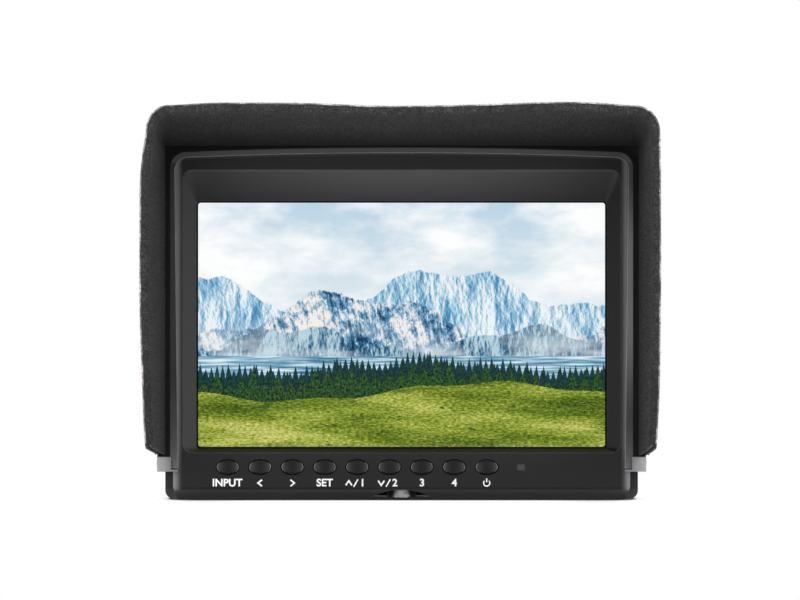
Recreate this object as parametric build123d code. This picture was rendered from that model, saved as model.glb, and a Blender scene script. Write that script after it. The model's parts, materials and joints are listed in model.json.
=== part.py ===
from build123d import *
from math import atan2, cos, degrees, radians, sqrt, tan
import os

# Seven inch camera field monitor with a fold-flat sun hood.
# Millimetres. +Z is up, the screen looks along -Y, and the origin is the mouth of the
# tripod thread in the underside.

# ---- housing -------------------------------------------------------------------------
shoulder_width = 3.3         # how far the housing stands out beside the raised front
crown_rise = 1.9             # how much higher the top edge is in the middle than at the sides
bottom_corner = 3.2
top_corner = 6.0
front_y = -14.5              # plane of the bezel's face
part_y = -6.5                # joint between bezel and rear cover
side_end_y = 5.0             # where the rear cover starts to taper
back_y = 11.0                # flat back of the rear cover
back_taper = 4.0             # how far the taper pulls the outline in
inner_taper_start = 1.0      # the taper starts this much further forward inside
wall = 2.0
back_edge_round = 1.5
merge = 0.5                  # how far the parts of one solid run into each other
overcut = 1.0                # how far a cut reaches past the surface that it opens
bezel_step = 6.3             # how far the raised front stands forward of the shoulder
bezel_corner = 5.0
front_edge_round = 2.0
foot_bevel_height = 3.75     # slope along the lower front edge
foot_bevel_depth = 6.2
foot_corner_round = 2.2
foot_wall = 0.65             # bezel's foot above the bevel, inside
inner_foot_corner = 0.6

# ---- screen --------------------------------------------------------------------------
picture_width = 152.4
picture_height = 91.4
window_margin = 0.6
window_above_keys = 6.75     # lower edge of the window above the middle of the keys
side_border = 3.8            # flat face of the bezel beside the slope
top_border = 6.2             # flat face above it
window_corner = 1.2
reveal_depth = 3.2           # how deep the sloping surround goes
reveal_side = 4.8            # width of the slope, seen from the front
reveal_top = 11.6
reveal_bottom = 1.4
reveal_corner = 3.4
reveal_rim = 1.2             # thickness of the ledge behind the slope
ledge_margin = 1.0           # ledge below the slope
gasket_margin = 0.5
gasket_thickness = 0.5
gasket_width = 3.0
glass_side_edge = 4.45       # glass beyond the window at each side
glass_end_edge = 2.7         # and above and below
glass_thickness = 1.4
tray_side_lip = 1.25
tray_top_lip = 2.6
tray_corner = 1.0
backlight_thickness = 3.4

# ---- keys ----------------------------------------------------------------------------
key_names = ["input", "left", "right", "set", "up", "down", "f3", "f4", "power"]
first_key_inset = 20.5       # from the side of the raised front
key_pitch = 12.08
key_width = 8.0
key_height = 5.2
key_gap = 0.5                # between cap and hole
key_sink = 0.3               # cap face below the bezel's face
key_dish_radius = 16.0
key_rim = 0.3                # flat left beside the dish at both ends
key_flange_rim = 0.5         # flange beyond the hole
key_flange_thickness = 0.8
key_float = 0.08             # flange to the back of the wall
key_stem = 2.4
key_stem_length = 0.9
key_travel = 0.5
switch_play = 0.1            # stem to switch beyond the travel
switch_width = 4.0
switch_height = 0.8
key_board_start = 11.4       # board beyond the first key
key_board_end = 13.5         # board beyond the light window
key_board_gap = 0.4          # above the tripod socket's roof
key_above_board_foot = 6.35
key_board_height = 9.6
key_board_screw_inset = 2.9
board_thickness = 1.2
led_pitch = 12.76            # from the last key
led_drop = 0.1
led_width = 2.7
led_height = 2.1
led_flange = 0.7
led_play = 0.05

# ---- tripod socket -------------------------------------------------------------------
socket_recess_radius = 14.5
socket_recess_depth = 3.75
socket_recess_back = 7.0     # straight back edge of the recess
thread_radius = 3.175        # quarter inch
thread_depth = 8.0
insert_radius = 4.3
insert_flange_radius = 5.6   # turned flange, as deep as the recess
insert_length = 10.0
socket_block_half = 17.0
socket_floor = 1.75
socket_block_foot = 1.0

# ---- fasteners and bosses ------------------------------------------------------------
post_side_inset = 8.7        # screw's axis to the side of the housing
post_low_z = 8.6
post_top_inset = 6.6
post_radius = 4.0
bezel_boss_radius = 3.0
screw_radius = 1.45
screw_head_radius = 2.7
screw_head_height = 1.8
screw_clearance = 0.05
screw_sides = 16             # flats that stand for the round head and shank
counterbore_play = 0.3
small_screw_radius = 0.95
small_head_radius = 1.9
small_head_height = 1.1
small_boss_radius = 2.5
screw_tip_wall = 0.8         # plastic left in front of a screw's tip
small_tip_wall = 0.4
board_screw_bite = 1.5

# ---- main board and sockets ----------------------------------------------------------
main_board_left_gap = 9.6    # to the inside of the socket wall
main_board_right_gap = 27.6
main_board_low = 31.0
main_board_top_gap = 21.4
main_board_y = 2.4
main_board_thickness = 1.6
board_boss_inset = 8.0
board_boss_end_inset = 5.0
chip_height = 1.4
main_chips = (               # from the board's lower left corner, then width and height
    (58, 43, 17, 17),
    (90, 53, 14, 10),
    (110, 19, 12, 12),
    (48, 15, 9, 12),
)
hdmi_drop = 46.0             # middle of the socket below the top of the main board
hdmi_width = 15.0
hdmi_thickness = 5.4
hdmi_length = 11.0
hdmi_wall = 0.5
hdmi_tongue = 1.0
hdmi_tongue_gap = 2.0        # from the tongue's edge to the shell
mouth_recess = 1.0           # tongue and pin behind the socket's mouth
socket_end_wall = 1.5
av_drop = 24.0
earphone_drop = 10.0
jack_radius = 1.8
jack_width = 7.0
jack_thickness = 5.4
jack_length = 12.0
jack_end_wall = 1.0
dc_z = 21.5
dc_y = -0.4
dc_radius = 2.8
dc_body = 8.6
dc_length = 12.0
dc_pin_radius = 1.0
port_play = 0.6              # cut-out in the wall around each socket's mouth

# ---- vents and speaker ---------------------------------------------------------------
vent_count = 9
vent_pitch = 4.2
vent_width = 1.8
vent_height = 11.0
vent_gap = 0.3               # from the battery pad to the first vent
vent_top_gap = 17.4
speaker_side_gap = 34.6
speaker_z = 24.0
speaker_width = 26.0
speaker_height = 13.0
speaker_depth = 3.6
grille_count = 5
grille_pitch = 2.6
grille_slot = 1.4
grille_margin = 4.0

# ---- battery plate -------------------------------------------------------------------
pad_side_margin = 6.0        # pad beyond the plate
pad_end_margin = 9.0
pad_rise = 2.0
pad_corner = 4.0
plate_lift = 1.3             # middle of the plate above the middle of the side
plate_width = 44.0
plate_height = 66.0
plate_thickness = 2.4
plate_corner = 2.0
rail_wall = 1.6
rail_height = 5.0
rail_tab = 1.5
rail_tab_thickness = 1.6
rail_tab_length = 9.0
rail_tab_count = 3
contact_block_width = 24.0
contact_block_height = 5.0
contact_block_rise = 5.0
contact_count = 3
contact_pitch = 7.0
contact_thickness = 0.8
contact_width = 2.4
contact_length = 3.2
contact_root = 2.0
plate_screw_side_inset = 5.0
plate_screw_end_inset = 8.0
head_play = 0.1
catch_width = 12.0
catch_height = 7.0
catch_rise = 2.0             # catch above the plate at rest
catch_travel = 1.8
catch_flange = 1.0           # thickness and width of the flange that holds it in
catch_play = 0.15
catch_ramp_start = 0.3
catch_wall = 2.0             # wall of the pocket behind the catch
catch_drop = 11.0            # middle of the catch below the plate's upper edge
spring_radius = 2.3
spring_wire = 0.45
spring_sides = 4             # wire drawn with this many flats
spring_turns = 3
spring_solid = 3.2           # spring's room when the catch is pressed home

# ---- ribbons -------------------------------------------------------------------------
ribbon_thickness = 0.3
ribbon_bend = 1.2
display_ribbon_inset = 39.1   # from the right end of the main board
display_ribbon_width = 24.0
display_ribbon_drops = (2.0, 8.0, 11.0, 17.0)   # points of its path below the main board's top
key_ribbon_left = -42.0
key_ribbon_width = 12.0
key_ribbon_rises = (1.5, 7.5)                   # its ends above the key board's foot
key_ribbon_reach = 5.0                          # end above the main board's foot

# ---- hood frame ----------------------------------------------------------------------
slide_gap = 0.4              # frame to bezel, sideways
frame_gap = 0.3              # frame to housing, in depth and above
leg_thickness = 5.2
frame_rise = 5.2             # top of the frame above the housing's side
frame_corner = 6.0
lip_thickness = 1.2
lip_low_overlap = 2.2        # lip over the bezel's face at the foot
lip_high_overlap = 0.9
lip_top_overlap = 1.9
slot_corner_play = 0.5
leg_foot_z = 11.5
lip_lift = 0.5               # foot of the lip above the foot of the leg
clip_height = 5.5
clip_thickness = 0.8
rivet_radius = 1.0
rivet_head_radius = 1.7
rivet_head_height = 0.5
rivet_length = 3.0
rivet_play = 0.02

# ---- hood panels ---------------------------------------------------------------------
felt_thickness = 0.8
stiffener_thickness = 1.4
cover_thickness = 0.8
hood_front_y = -108.4
level_gap = 0.9              # between panels that lie folded on each other
fold_gap = 0.3               # between a panel's root and the frame
side_lean = 2.0              # degrees that the side panels lean inwards
top_rise = 4.6               # degrees that the top panel rises forwards
side_foot_gap = 0.8          # foot of the panel's root above the clip
side_foot_rise = 7.4         # foot of the front edge above the foot of the root
side_foot_corner = 4.0
stiffener_inset = 1.2
top_hinge_drop = 2.8         # below the top of the frame
side_top_gap = 0.6           # side panels below the top panel's hinge
top_root_inset = 4.8         # from the side of the frame
top_narrowing = 7.6          # from the root to the front, at each side
visor_gap = 0.05             # top panel to the frame's visor
gusset_thickness = 1.4
gusset_start = 4.0
gusset_gap = 0.25
fold_cloth = 0.4
fold_cloth_margin = 0.5

# ---- worked out from the above -------------------------------------------------------
window_width = picture_width + 2 * window_margin
window_height = picture_height + 2 * window_margin
bezel_half_width = window_width / 2 + reveal_side + side_border
half_width = bezel_half_width + shoulder_width
socket_roof = socket_recess_depth + socket_floor
key_board_bottom = socket_roof + key_board_gap
key_z = key_board_bottom + key_above_board_foot
window_foot_z = key_z + window_above_keys
picture_z = window_foot_z + window_height / 2
side_height = window_foot_z + window_height + reveal_top + top_border
glass_width = window_width + 2 * glass_side_edge
glass_height = window_height + 2 * glass_end_edge
step_y = front_y + bezel_step
front_wall_y = front_y + wall
ledge_y = front_y + reveal_depth + reveal_rim
glass_y = ledge_y + gasket_thickness
backlight_y = glass_y + glass_thickness
tray_back_y = backlight_y + backlight_thickness
first_key_x = first_key_inset - bezel_half_width
led_x = first_key_x + (len(key_names) - 1) * key_pitch + led_pitch
led_z = key_z - led_drop
post_x = half_width - post_side_inset
post_high_z = side_height - post_top_inset
pad_y = back_y + pad_rise
plate_y = pad_y + plate_thickness
inner_back_y = back_y - wall
plate_z = side_height / 2 + plate_lift
pad_width = plate_width + 2 * pad_side_margin
pad_height = plate_height + 2 * pad_end_margin
plate_screw_x = plate_width / 2 - plate_screw_side_inset
plate_screw_z = plate_height / 2 - plate_screw_end_inset
panel_thickness = felt_thickness + stiffener_thickness + cover_thickness
lip_y = front_y - frame_gap - lip_thickness
frame_back_y = step_y - frame_gap
leg_inner = bezel_half_width + slide_gap
frame_half_width = leg_inner + leg_thickness
frame_top = side_height + frame_rise
lip_foot_z = leg_foot_z + lip_lift
clip_foot_z = leg_foot_z - clip_thickness
clip_top_z = clip_foot_z + clip_height
side_inner = frame_half_width - panel_thickness
side_root_foot_z = clip_top_z + side_foot_gap
side_front_foot_z = side_root_foot_z + side_foot_rise
top_hinge_z = frame_top - top_hinge_drop
side_top_z = top_hinge_z - side_top_gap
top_root_half = frame_half_width - top_root_inset
top_front_half = top_root_half - top_narrowing
fold_y = {
    "left": lip_y - fold_gap,
    "right": lip_y - fold_gap - panel_thickness - level_gap,
    "top": lip_y - fold_gap - 2 * (panel_thickness + level_gap),
}
key_flange_y = front_wall_y + key_float
switch_y = key_flange_y + key_flange_thickness + key_stem_length + key_travel + switch_play
key_board_y = switch_y + switch_height
key_board_back_y = key_board_y + board_thickness
key_board_left = first_key_x - key_board_start
key_board_right = led_x + key_board_end
catch_z = plate_z + plate_height / 2 - catch_drop
catch_seat_y = pad_y - catch_play
spring_room = catch_travel + spring_solid
spring_floor_y = catch_seat_y - catch_flange - spring_room
inner_side_x = half_width - wall
main_board_left = main_board_left_gap - inner_side_x
main_board_right = inner_side_x - main_board_right_gap
main_board_high = side_height - main_board_top_gap
board_boss_x = main_board_right - board_boss_inset
board_boss_low = main_board_low + board_boss_end_inset
board_boss_high = main_board_high - board_boss_end_inset
socket_y = main_board_y - hdmi_thickness / 2
hdmi_z = main_board_high - hdmi_drop
av_z = main_board_high - av_drop
earphone_z = main_board_high - earphone_drop
display_ribbon_left = main_board_right - display_ribbon_inset
taper_angle = degrees(atan2(back_taper, back_y - side_end_y))
vent_reach = (vent_count - 1) / 2 * vent_pitch
vent_x = pad_width / 2 + vent_gap + vent_width / 2 + vent_reach
vent_z = side_height - vent_top_gap
speaker_x = half_width - speaker_side_gap


def slab(profile, front, back):
    """Solid from an X-Z profile, between the planes y = front and y = back."""
    return extrude(Plane.XZ.offset(-back) * profile, amount=back - front)


def bar_x(profile, left, right):
    """Solid from a Y-Z profile, between the planes x = left and x = right."""
    return extrude(Plane.YZ.offset(left) * profile, amount=right - left)


def box(x, y, z):
    """Box between two limits in each direction."""
    return Pos((x[0] + x[1]) / 2, (y[0] + y[1]) / 2, (z[0] + z[1]) / 2) * Box(
        abs(x[1] - x[0]), abs(y[1] - y[0]), abs(z[1] - z[0])
    )


def rod_y(radius, x, z, front, back):
    """Round bar along Y."""
    return slab(Pos(x, z) * Circle(radius), front, back)


def rod_x(radius, y, z, left, right):
    """Round bar along X."""
    return bar_x(Pos(y, z) * Circle(radius), left, right)


def crowned(half, foot, side, rise, foot_radius, top_radius):
    """X-Z profile with straight sides and foot and a gently arched top edge."""
    edges = [
        Line((-half, foot), (half, foot)),
        Line((half, foot), (half, side)),
        ThreePointArc((half, side), (0, side + rise), (-half, side)),
        Line((-half, side), (-half, foot)),
    ]
    face = make_face(edges)
    corners = face.vertices().sort_by(Axis.Y)
    if foot_radius > 0:
        face = fillet(corners[:2], foot_radius)
    corners = face.vertices().sort_by(Axis.Y)
    return fillet(corners[-2:], top_radius)


def housing_profile(inset=0.0):
    """Outline of the housing, pulled in all round by inset."""
    return crowned(
        half_width - inset, inset, side_height - inset, crown_rise,
        max(bottom_corner - inset, 0.6), max(top_corner - inset, 0.8),
    )


def window_profile(margin=0.0):
    """The picture's opening, or a frame line set outside it by margin."""
    return Pos(0, picture_z) * RectangleRounded(
        window_width + 2 * margin, window_height + 2 * margin, window_corner + margin / 2
    )


def post_places():
    """X and Z of the four housing screws."""
    return [(s * post_x, z) for s in (-1, 1) for z in (post_low_z, post_high_z)]


def key_places():
    """Name and X of each key."""
    return [(name, first_key_x + i * key_pitch) for i, name in enumerate(key_names)]


def key_board_screw_places():
    """X of the two screws that hold the key board."""
    return [key_board_left + key_board_screw_inset, key_board_right - key_board_screw_inset]


def socket_recess():
    """Round recess in the underside, for the flange of the tripod insert."""
    reach = 2 * socket_recess_radius
    front_part = Pos(0, socket_recess_back - reach / 2) * Rectangle(reach, reach)
    return extrude(Circle(socket_recess_radius) & front_part, amount=socket_recess_depth)


def make_front_bezel():
    """Front casing: shoulder, raised front with sloping surround, ledge, bosses and key holes."""
    shoulder = slab(housing_profile(), step_y, part_y)
    raised = slab(
        crowned(bezel_half_width, 0, side_height, crown_rise, 0, bezel_corner), front_y, step_y
    )
    bevel = make_face(
        Polyline(
            (front_y, foot_bevel_height), (front_y + foot_bevel_depth, 0),
            (front_y + foot_bevel_depth, -overcut), (front_y - overcut, -overcut),
            (front_y - overcut, foot_bevel_height),
            close=True,
        )
    )
    raised -= bar_x(bevel, -half_width, half_width)
    slope = raised.faces().filter_by(lambda f: f.normal_at().Y < -0.1 and f.normal_at().Z < -0.1)[0]
    slanted = slope.edges().sort_by(Axis.X)
    raised = fillet([slanted[0], slanted[-1]], foot_corner_round)
    rim_edges = raised.faces().sort_by(Axis.Y)[0].edges()
    raised = fillet(rim_edges, front_edge_round)
    solid = shoulder + raised
    inside = crowned(
        bezel_half_width - wall, foot_bevel_height + foot_wall, side_height - wall, crown_rise,
        inner_foot_corner, bezel_corner - wall,
    )
    solid -= slab(inside, front_wall_y, part_y)
    ledge_half = bezel_half_width - wall + merge
    ledge_low = window_foot_z - reveal_bottom - ledge_margin
    ledge_high = window_foot_z + window_height + reveal_top + wall
    solid += box((-ledge_half, ledge_half), (front_wall_y - merge, ledge_y), (ledge_low, ledge_high))
    outer_width = window_width + 2 * reveal_side
    outer_height = window_height + reveal_top + reveal_bottom
    outer_z = picture_z + (reveal_top - reveal_bottom) / 2
    mouth = Plane.XZ.offset(-front_y) * (
        Pos(0, outer_z) * RectangleRounded(outer_width, outer_height, reveal_corner)
    )
    throat = Plane.XZ.offset(-front_y - reveal_depth) * window_profile()
    solid -= loft([mouth, throat], ruled=True)
    solid -= slab(window_profile(), front_y, ledge_y + overcut)
    for x, z in post_places():
        solid += rod_y(bezel_boss_radius, x, z, front_wall_y - merge, part_y)
        solid -= rod_y(screw_radius + screw_clearance, x, z, front_wall_y + merge, part_y)
    for x in key_board_screw_places():
        solid += rod_y(small_boss_radius, x, key_z, front_wall_y - merge, key_board_y)
        solid -= rod_y(small_screw_radius + screw_clearance, x, key_z, front_wall_y, key_board_y)
    for name, x in key_places():
        hole = Ellipse(key_width / 2 + key_gap, key_height / 2 + key_gap)
        solid -= slab(Pos(x, key_z) * hole, front_y - overcut, front_wall_y)
    solid -= slab(Pos(led_x, led_z) * Rectangle(led_width, led_height), front_y - overcut, front_wall_y)
    half = socket_block_half
    block = box((-half, half), (front_wall_y, part_y), (socket_block_foot, socket_roof))
    solid += block - bar_x(bevel, -half, half)
    return solid - socket_recess()


def make_rear_cover():
    """Rear casing: tapered back, battery pad, bosses, vents, grille and socket cut-outs."""
    outline = Plane.XZ.offset(-side_end_y) * housing_profile()
    tapered = extrude(outline, amount=back_y - side_end_y, dir=(0, 1, 0), taper=taper_angle)
    back_rim = tapered.faces().sort_by(Axis.Y)[-1].edges()
    solid = slab(housing_profile(), part_y, side_end_y) + fillet(back_rim, back_edge_round)
    solid -= slab(housing_profile(wall), part_y, side_end_y - inner_taper_start)
    wide = Plane.XZ.offset(inner_taper_start - side_end_y) * housing_profile(wall)
    narrow = Plane.XZ.offset(-inner_back_y) * housing_profile(wall + back_taper)
    solid -= loft([wide, narrow], ruled=True)
    pad = Pos(0, plate_z) * RectangleRounded(pad_width, pad_height, pad_corner)
    solid += slab(pad, inner_back_y, pad_y)
    half = socket_block_half
    solid += box((-half, half), (part_y, inner_back_y), (socket_block_foot, insert_length + wall))
    for x, z in post_places():
        solid += rod_y(post_radius, x, z, part_y, inner_back_y)
    seat_y = inner_back_y - screw_head_height
    for x, z in post_places():
        solid -= rod_y(screw_radius + screw_clearance, x, z, part_y, seat_y)
        solid -= rod_y(screw_head_radius + counterbore_play, x, z, seat_y, back_y + overcut)
    boss_y = main_board_y + main_board_thickness
    for x, z in main_board_screw_places():
        solid += rod_y(small_boss_radius, x, z, boss_y, inner_back_y)
        solid -= rod_y(small_screw_radius + screw_clearance, x, z, boss_y, inner_back_y - overcut)
    for x, z in plate_screw_places():
        solid -= rod_y(small_screw_radius + screw_clearance, x, z, inner_back_y, pad_y)
    solid -= socket_recess()
    solid -= extrude(Circle(insert_radius), amount=insert_length)
    pocket_width = catch_width + 2 * (catch_flange + catch_play)
    pocket_height = catch_height + 2 * (catch_flange + catch_play)
    guide = Rectangle(pocket_width + 2 * catch_wall, pocket_height + 2 * catch_wall)
    solid += slab(Pos(0, catch_z) * guide, spring_floor_y - catch_wall, inner_back_y)
    solid -= slab(Pos(0, catch_z) * Rectangle(pocket_width, pocket_height), spring_floor_y, pad_y)
    vent = Rectangle(vent_width, vent_height)
    for side in (-1, 1):
        for i in range(vent_count):
            x = side * vent_x + i * vent_pitch - vent_reach
            solid -= slab(Pos(x, vent_z) * vent, inner_back_y - overcut, back_y + overcut)
    slot = Rectangle(speaker_width - 2 * grille_margin, grille_slot)
    for i in range(grille_count):
        z = speaker_z + (i - (grille_count - 1) / 2) * grille_pitch
        solid -= slab(Pos(speaker_x, z) * slot, inner_back_y - overcut, back_y + overcut)
    outside = -half_width - overcut
    inside = port_play - inner_side_x
    play = 2 * port_play
    hdmi = Pos(socket_y, hdmi_z) * Rectangle(hdmi_thickness - play, hdmi_width - play)
    solid -= bar_x(hdmi, outside, inside)
    for z in (av_z, earphone_z):
        solid -= rod_x(jack_radius + port_play, socket_y, z, outside, inside)
    return solid - rod_x(dc_radius + port_play, dc_y, dc_z, outside, inside)


def main_board_screw_places():
    """X and Z of the four screws that hold the main board."""
    return [(s * board_boss_x, z) for s in (-1, 1) for z in (board_boss_low, board_boss_high)]


def plate_screw_places():
    """X and Z of the four screws that hold the battery plate."""
    return [
        (s * plate_screw_x, plate_z + t * plate_screw_z) for s in (-1, 1) for t in (-1, 1)
    ]


def make_display():
    """Glass cell, backlight tray and foam gasket."""
    glass = slab(Pos(0, picture_z) * Rectangle(glass_width, glass_height), glass_y, backlight_y)
    tray_profile = RectangleRounded(
        glass_width + 2 * tray_side_lip, glass_height + tray_top_lip, tray_corner
    )
    tray = slab(Pos(0, picture_z + tray_top_lip / 2) * tray_profile, backlight_y, tray_back_y)
    inner_width = window_width + 2 * gasket_margin
    inner_height = window_height + 2 * gasket_margin
    ring = Rectangle(inner_width + 2 * gasket_width, inner_height + gasket_width)
    ring -= Rectangle(inner_width, inner_height)
    gasket = slab(Pos(0, picture_z) * ring, ledge_y, glass_y)
    return {"display_panel": glass, "lcd_backlight": tray, "lcd_gasket": gasket}


def make_key(x):
    """Key cap with a dished face, a flange behind the wall and a stem for its switch."""
    cap_y = front_y + key_sink
    flange_back = key_flange_y + key_flange_thickness
    rim = 2 * (key_gap + key_flange_rim)
    cap = slab(Pos(x, key_z) * Ellipse(key_width / 2, key_height / 2), cap_y, flange_back)
    flange = Rectangle(key_width + rim, key_height + rim)
    cap += slab(Pos(x, key_z) * flange, key_flange_y, flange_back)
    stem = Rectangle(key_stem, key_stem)
    cap += slab(Pos(x, key_z) * stem, flange_back, flange_back + key_stem_length)
    half_chord = key_width / 2 - key_rim
    dish_y = cap_y - sqrt(key_dish_radius ** 2 - half_chord ** 2)
    return cap - Pos(x, dish_y, key_z) * Cylinder(key_dish_radius, 2 * key_height)


def make_key_electronics():
    """Key board, the dome switches under the keys and the light window."""
    low = key_board_bottom
    high = key_board_bottom + key_board_height
    board = box((key_board_left, key_board_right), (key_board_y, key_board_back_y), (low, high))
    for x in key_board_screw_places():
        board -= rod_y(small_screw_radius + screw_clearance, x, key_z, key_board_y, key_board_back_y)
    switch = Rectangle(switch_width, switch_width)
    switches = [slab(Pos(x, key_z) * switch, switch_y, key_board_y) for name, x in key_places()]
    lens_face = Rectangle(led_width - 2 * led_play, led_height - 2 * led_play)
    lens = slab(Pos(led_x, led_z) * lens_face, front_y + led_play, front_wall_y)
    foot = Rectangle(led_width + 2 * led_flange, led_height + 2 * led_flange)
    lens += slab(Pos(led_x, led_z) * foot, front_wall_y, key_board_y)
    return {"key_board": board, "key_switches": Compound(children=switches), "led_window": lens}


def make_main_board():
    """Main circuit board with its larger components."""
    y = main_board_y
    back = y + main_board_thickness
    board = box((main_board_left, main_board_right), (y, back), (main_board_low, main_board_high))
    for x, z in main_board_screw_places():
        board -= rod_y(small_screw_radius + screw_clearance, x, z, y, back)
    for across, up, width, height in main_chips:
        middle = Pos(main_board_left + across, main_board_low + up)
        board += slab(middle * Rectangle(width, height), y - chip_height, y)
    return board


def make_sockets():
    """Video, audio and power sockets behind the left side wall."""
    mouth = -inner_side_x
    recessed = mouth + mouth_recess
    place = Pos(socket_y, hdmi_z)
    floor = mouth + hdmi_length - socket_end_wall
    shell = bar_x(place * Rectangle(hdmi_thickness, hdmi_width), mouth, mouth + hdmi_length)
    inner = Rectangle(hdmi_thickness - 2 * hdmi_wall, hdmi_width - 2 * hdmi_wall)
    shell -= bar_x(place * inner, mouth, floor)
    tongue = Rectangle(hdmi_tongue, hdmi_width - 2 * hdmi_tongue_gap)
    nodes = {"hdmi_socket": shell + bar_x(place * tongue, recessed, floor + merge)}
    for name, z in (("av_socket", av_z), ("earphone_socket", earphone_z)):
        jack = Pos(socket_y, z) * Rectangle(jack_thickness, jack_width)
        body = bar_x(jack, mouth, mouth + jack_length)
        floor = mouth + jack_length - jack_end_wall
        nodes[name] = body - rod_x(jack_radius, socket_y, z, mouth, floor)
    body = bar_x(Pos(dc_y, dc_z) * Rectangle(dc_body, dc_body), mouth, mouth + dc_length)
    floor = mouth + dc_length - socket_end_wall
    body -= rod_x(dc_radius, dc_y, dc_z, mouth, floor)
    nodes["dc_socket"] = body + rod_x(dc_pin_radius, dc_y, dc_z, recessed, floor + merge)
    return nodes


def make_speaker():
    """Oval loudspeaker against the back wall."""
    seat = Pos(speaker_x, speaker_z) * SlotOverall(speaker_width, speaker_height)
    return slab(seat, inner_back_y - speaker_depth, inner_back_y)


def make_tripod_insert():
    """Threaded insert with a turned flange in the recess, open at the underside."""
    body = extrude(Circle(insert_radius), amount=insert_length)
    body += extrude(Circle(insert_flange_radius), amount=socket_recess_depth)
    return body - extrude(Circle(thread_radius), amount=thread_depth)


def make_battery_plate():
    """Slide-in battery plate: base, two undercut rails and the contact block."""
    base = Pos(0, plate_z) * RectangleRounded(plate_width, plate_height, plate_corner)
    solid = slab(base, pad_y, plate_y)
    low = plate_z - plate_height / 2
    high = plate_z + plate_height / 2
    rail_top = plate_y + rail_height
    pitch = (plate_height - 2 * plate_corner - rail_tab_length) / (rail_tab_count - 1)
    for s in (-1, 1):
        outer = s * plate_width / 2
        inner = s * (plate_width / 2 - rail_wall)
        solid += box(
            (inner, outer), (plate_y - merge, rail_top), (low + plate_corner, high - plate_corner)
        )
        for i in range(rail_tab_count):
            z = low + plate_corner + i * pitch
            solid += box(
                (s * (plate_width / 2 - rail_wall - rail_tab), inner),
                (rail_top - rail_tab_thickness, rail_top), (z, z + rail_tab_length),
            )
    solid += box(
        (-contact_block_width / 2, contact_block_width / 2),
        (plate_y - merge, plate_y + contact_block_rise),
        (low + plate_corner, low + plate_corner + contact_block_height),
    )
    for x in contact_places():
        solid -= contact_shape(x, screw_clearance)
    for x, z in plate_screw_places():
        solid -= rod_y(small_screw_radius + screw_clearance, x, z, pad_y, plate_y)
        solid -= rod_y(small_head_radius + head_play, x, z, plate_y - small_head_height, plate_y)
    hole = Rectangle(catch_width + 2 * catch_play, catch_height + 2 * catch_play)
    return solid - slab(Pos(0, catch_z) * hole, pad_y, plate_y)


def contact_places():
    """X of each battery contact."""
    return [(i - (contact_count - 1) / 2) * contact_pitch for i in range(contact_count)]


def contact_shape(x, play=0.0):
    """One contact blade, standing up out of the contact block."""
    foot = plate_z - plate_height / 2 + plate_corner + contact_block_height
    y = plate_y + contact_block_rise / 2
    half = contact_thickness / 2 + play
    reach = contact_width / 2 + play
    root = foot - contact_root - play
    return box((x - half, x + half), (y - reach, y + reach), (root, foot + contact_length))


def make_battery_catch():
    """Sprung catch: a ramped button that stands above the plate, with a flange below it."""
    tip = plate_y + catch_rise
    flange_front = catch_seat_y - catch_flange
    body = slab(Pos(0, catch_z) * Rectangle(catch_width, catch_height), flange_front, tip)
    ramp_foot = plate_y + catch_ramp_start
    upper = catch_z + catch_height / 2
    ramp = make_face(
        Polyline(
            (tip + overcut, upper + overcut), (ramp_foot, upper + overcut), (ramp_foot, upper),
            (tip, catch_z), (tip + overcut, catch_z), close=True,
        )
    )
    body -= bar_x(ramp, -catch_width, catch_width)
    flange = Rectangle(catch_width + 2 * catch_flange, catch_height + 2 * catch_flange)
    return body + slab(Pos(0, catch_z) * flange, flange_front, catch_seat_y)


def make_latch_spring():
    """Coil spring under the catch, along Y."""
    length = spring_room - spring_wire
    height = length - spring_wire
    path = Helix(pitch=height / spring_turns, height=height, radius=spring_radius)
    section = Plane(origin=path @ 0, z_dir=path % 0) * RegularPolygon(spring_wire / 2, spring_sides)
    coil = sweep(section, path=path)
    return Pos(0, spring_floor_y + spring_wire, catch_z) * Rot(-90, 0, 0) * coil


def screw(radius, head_radius, x, z, head_y, seat_y, tip_y):
    """Cap-head screw along Y, from its head at head_y through its seat to its tip."""
    place = Pos(x, z)
    shank = place * RegularPolygon(radius, screw_sides)
    head = place * RegularPolygon(head_radius, screw_sides)
    solid = slab(shank, min(seat_y, tip_y), max(seat_y, tip_y))
    return solid + slab(head, min(head_y, seat_y), max(head_y, seat_y))


def make_fasteners():
    """Housing screws, plate screws and the small screws of the two boards."""
    seat = inner_back_y - screw_head_height
    tip = front_wall_y + screw_tip_wall
    housing = [
        screw(screw_radius, screw_head_radius, x, z, inner_back_y, seat, tip)
        for x, z in post_places()
    ]
    seat = plate_y - small_head_height
    tip = inner_back_y + small_tip_wall
    plate = [
        screw(small_screw_radius, small_head_radius, x, z, plate_y, seat, tip)
        for x, z in plate_screw_places()
    ]
    head = main_board_y - small_head_height
    tip = inner_back_y - board_screw_bite
    board = [
        screw(small_screw_radius, small_head_radius, x, z, head, main_board_y, tip)
        for x, z in main_board_screw_places()
    ]
    head = key_board_back_y + small_head_height
    tip = front_wall_y + small_tip_wall
    board += [
        screw(small_screw_radius, small_head_radius, x, key_z, head, key_board_back_y, tip)
        for x in key_board_screw_places()
    ]
    return {
        "housing_screws": Compound(children=housing),
        "plate_screws": Compound(children=plate),
        "board_screws": Compound(children=board),
    }


def ribbon(points, left, width):
    """Flat cable along a Y-Z path with rounded bends."""
    path = FilletPolyline(*points, radius=ribbon_bend)
    return bar_x(trace(path, ribbon_thickness), left, left + width)


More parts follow.
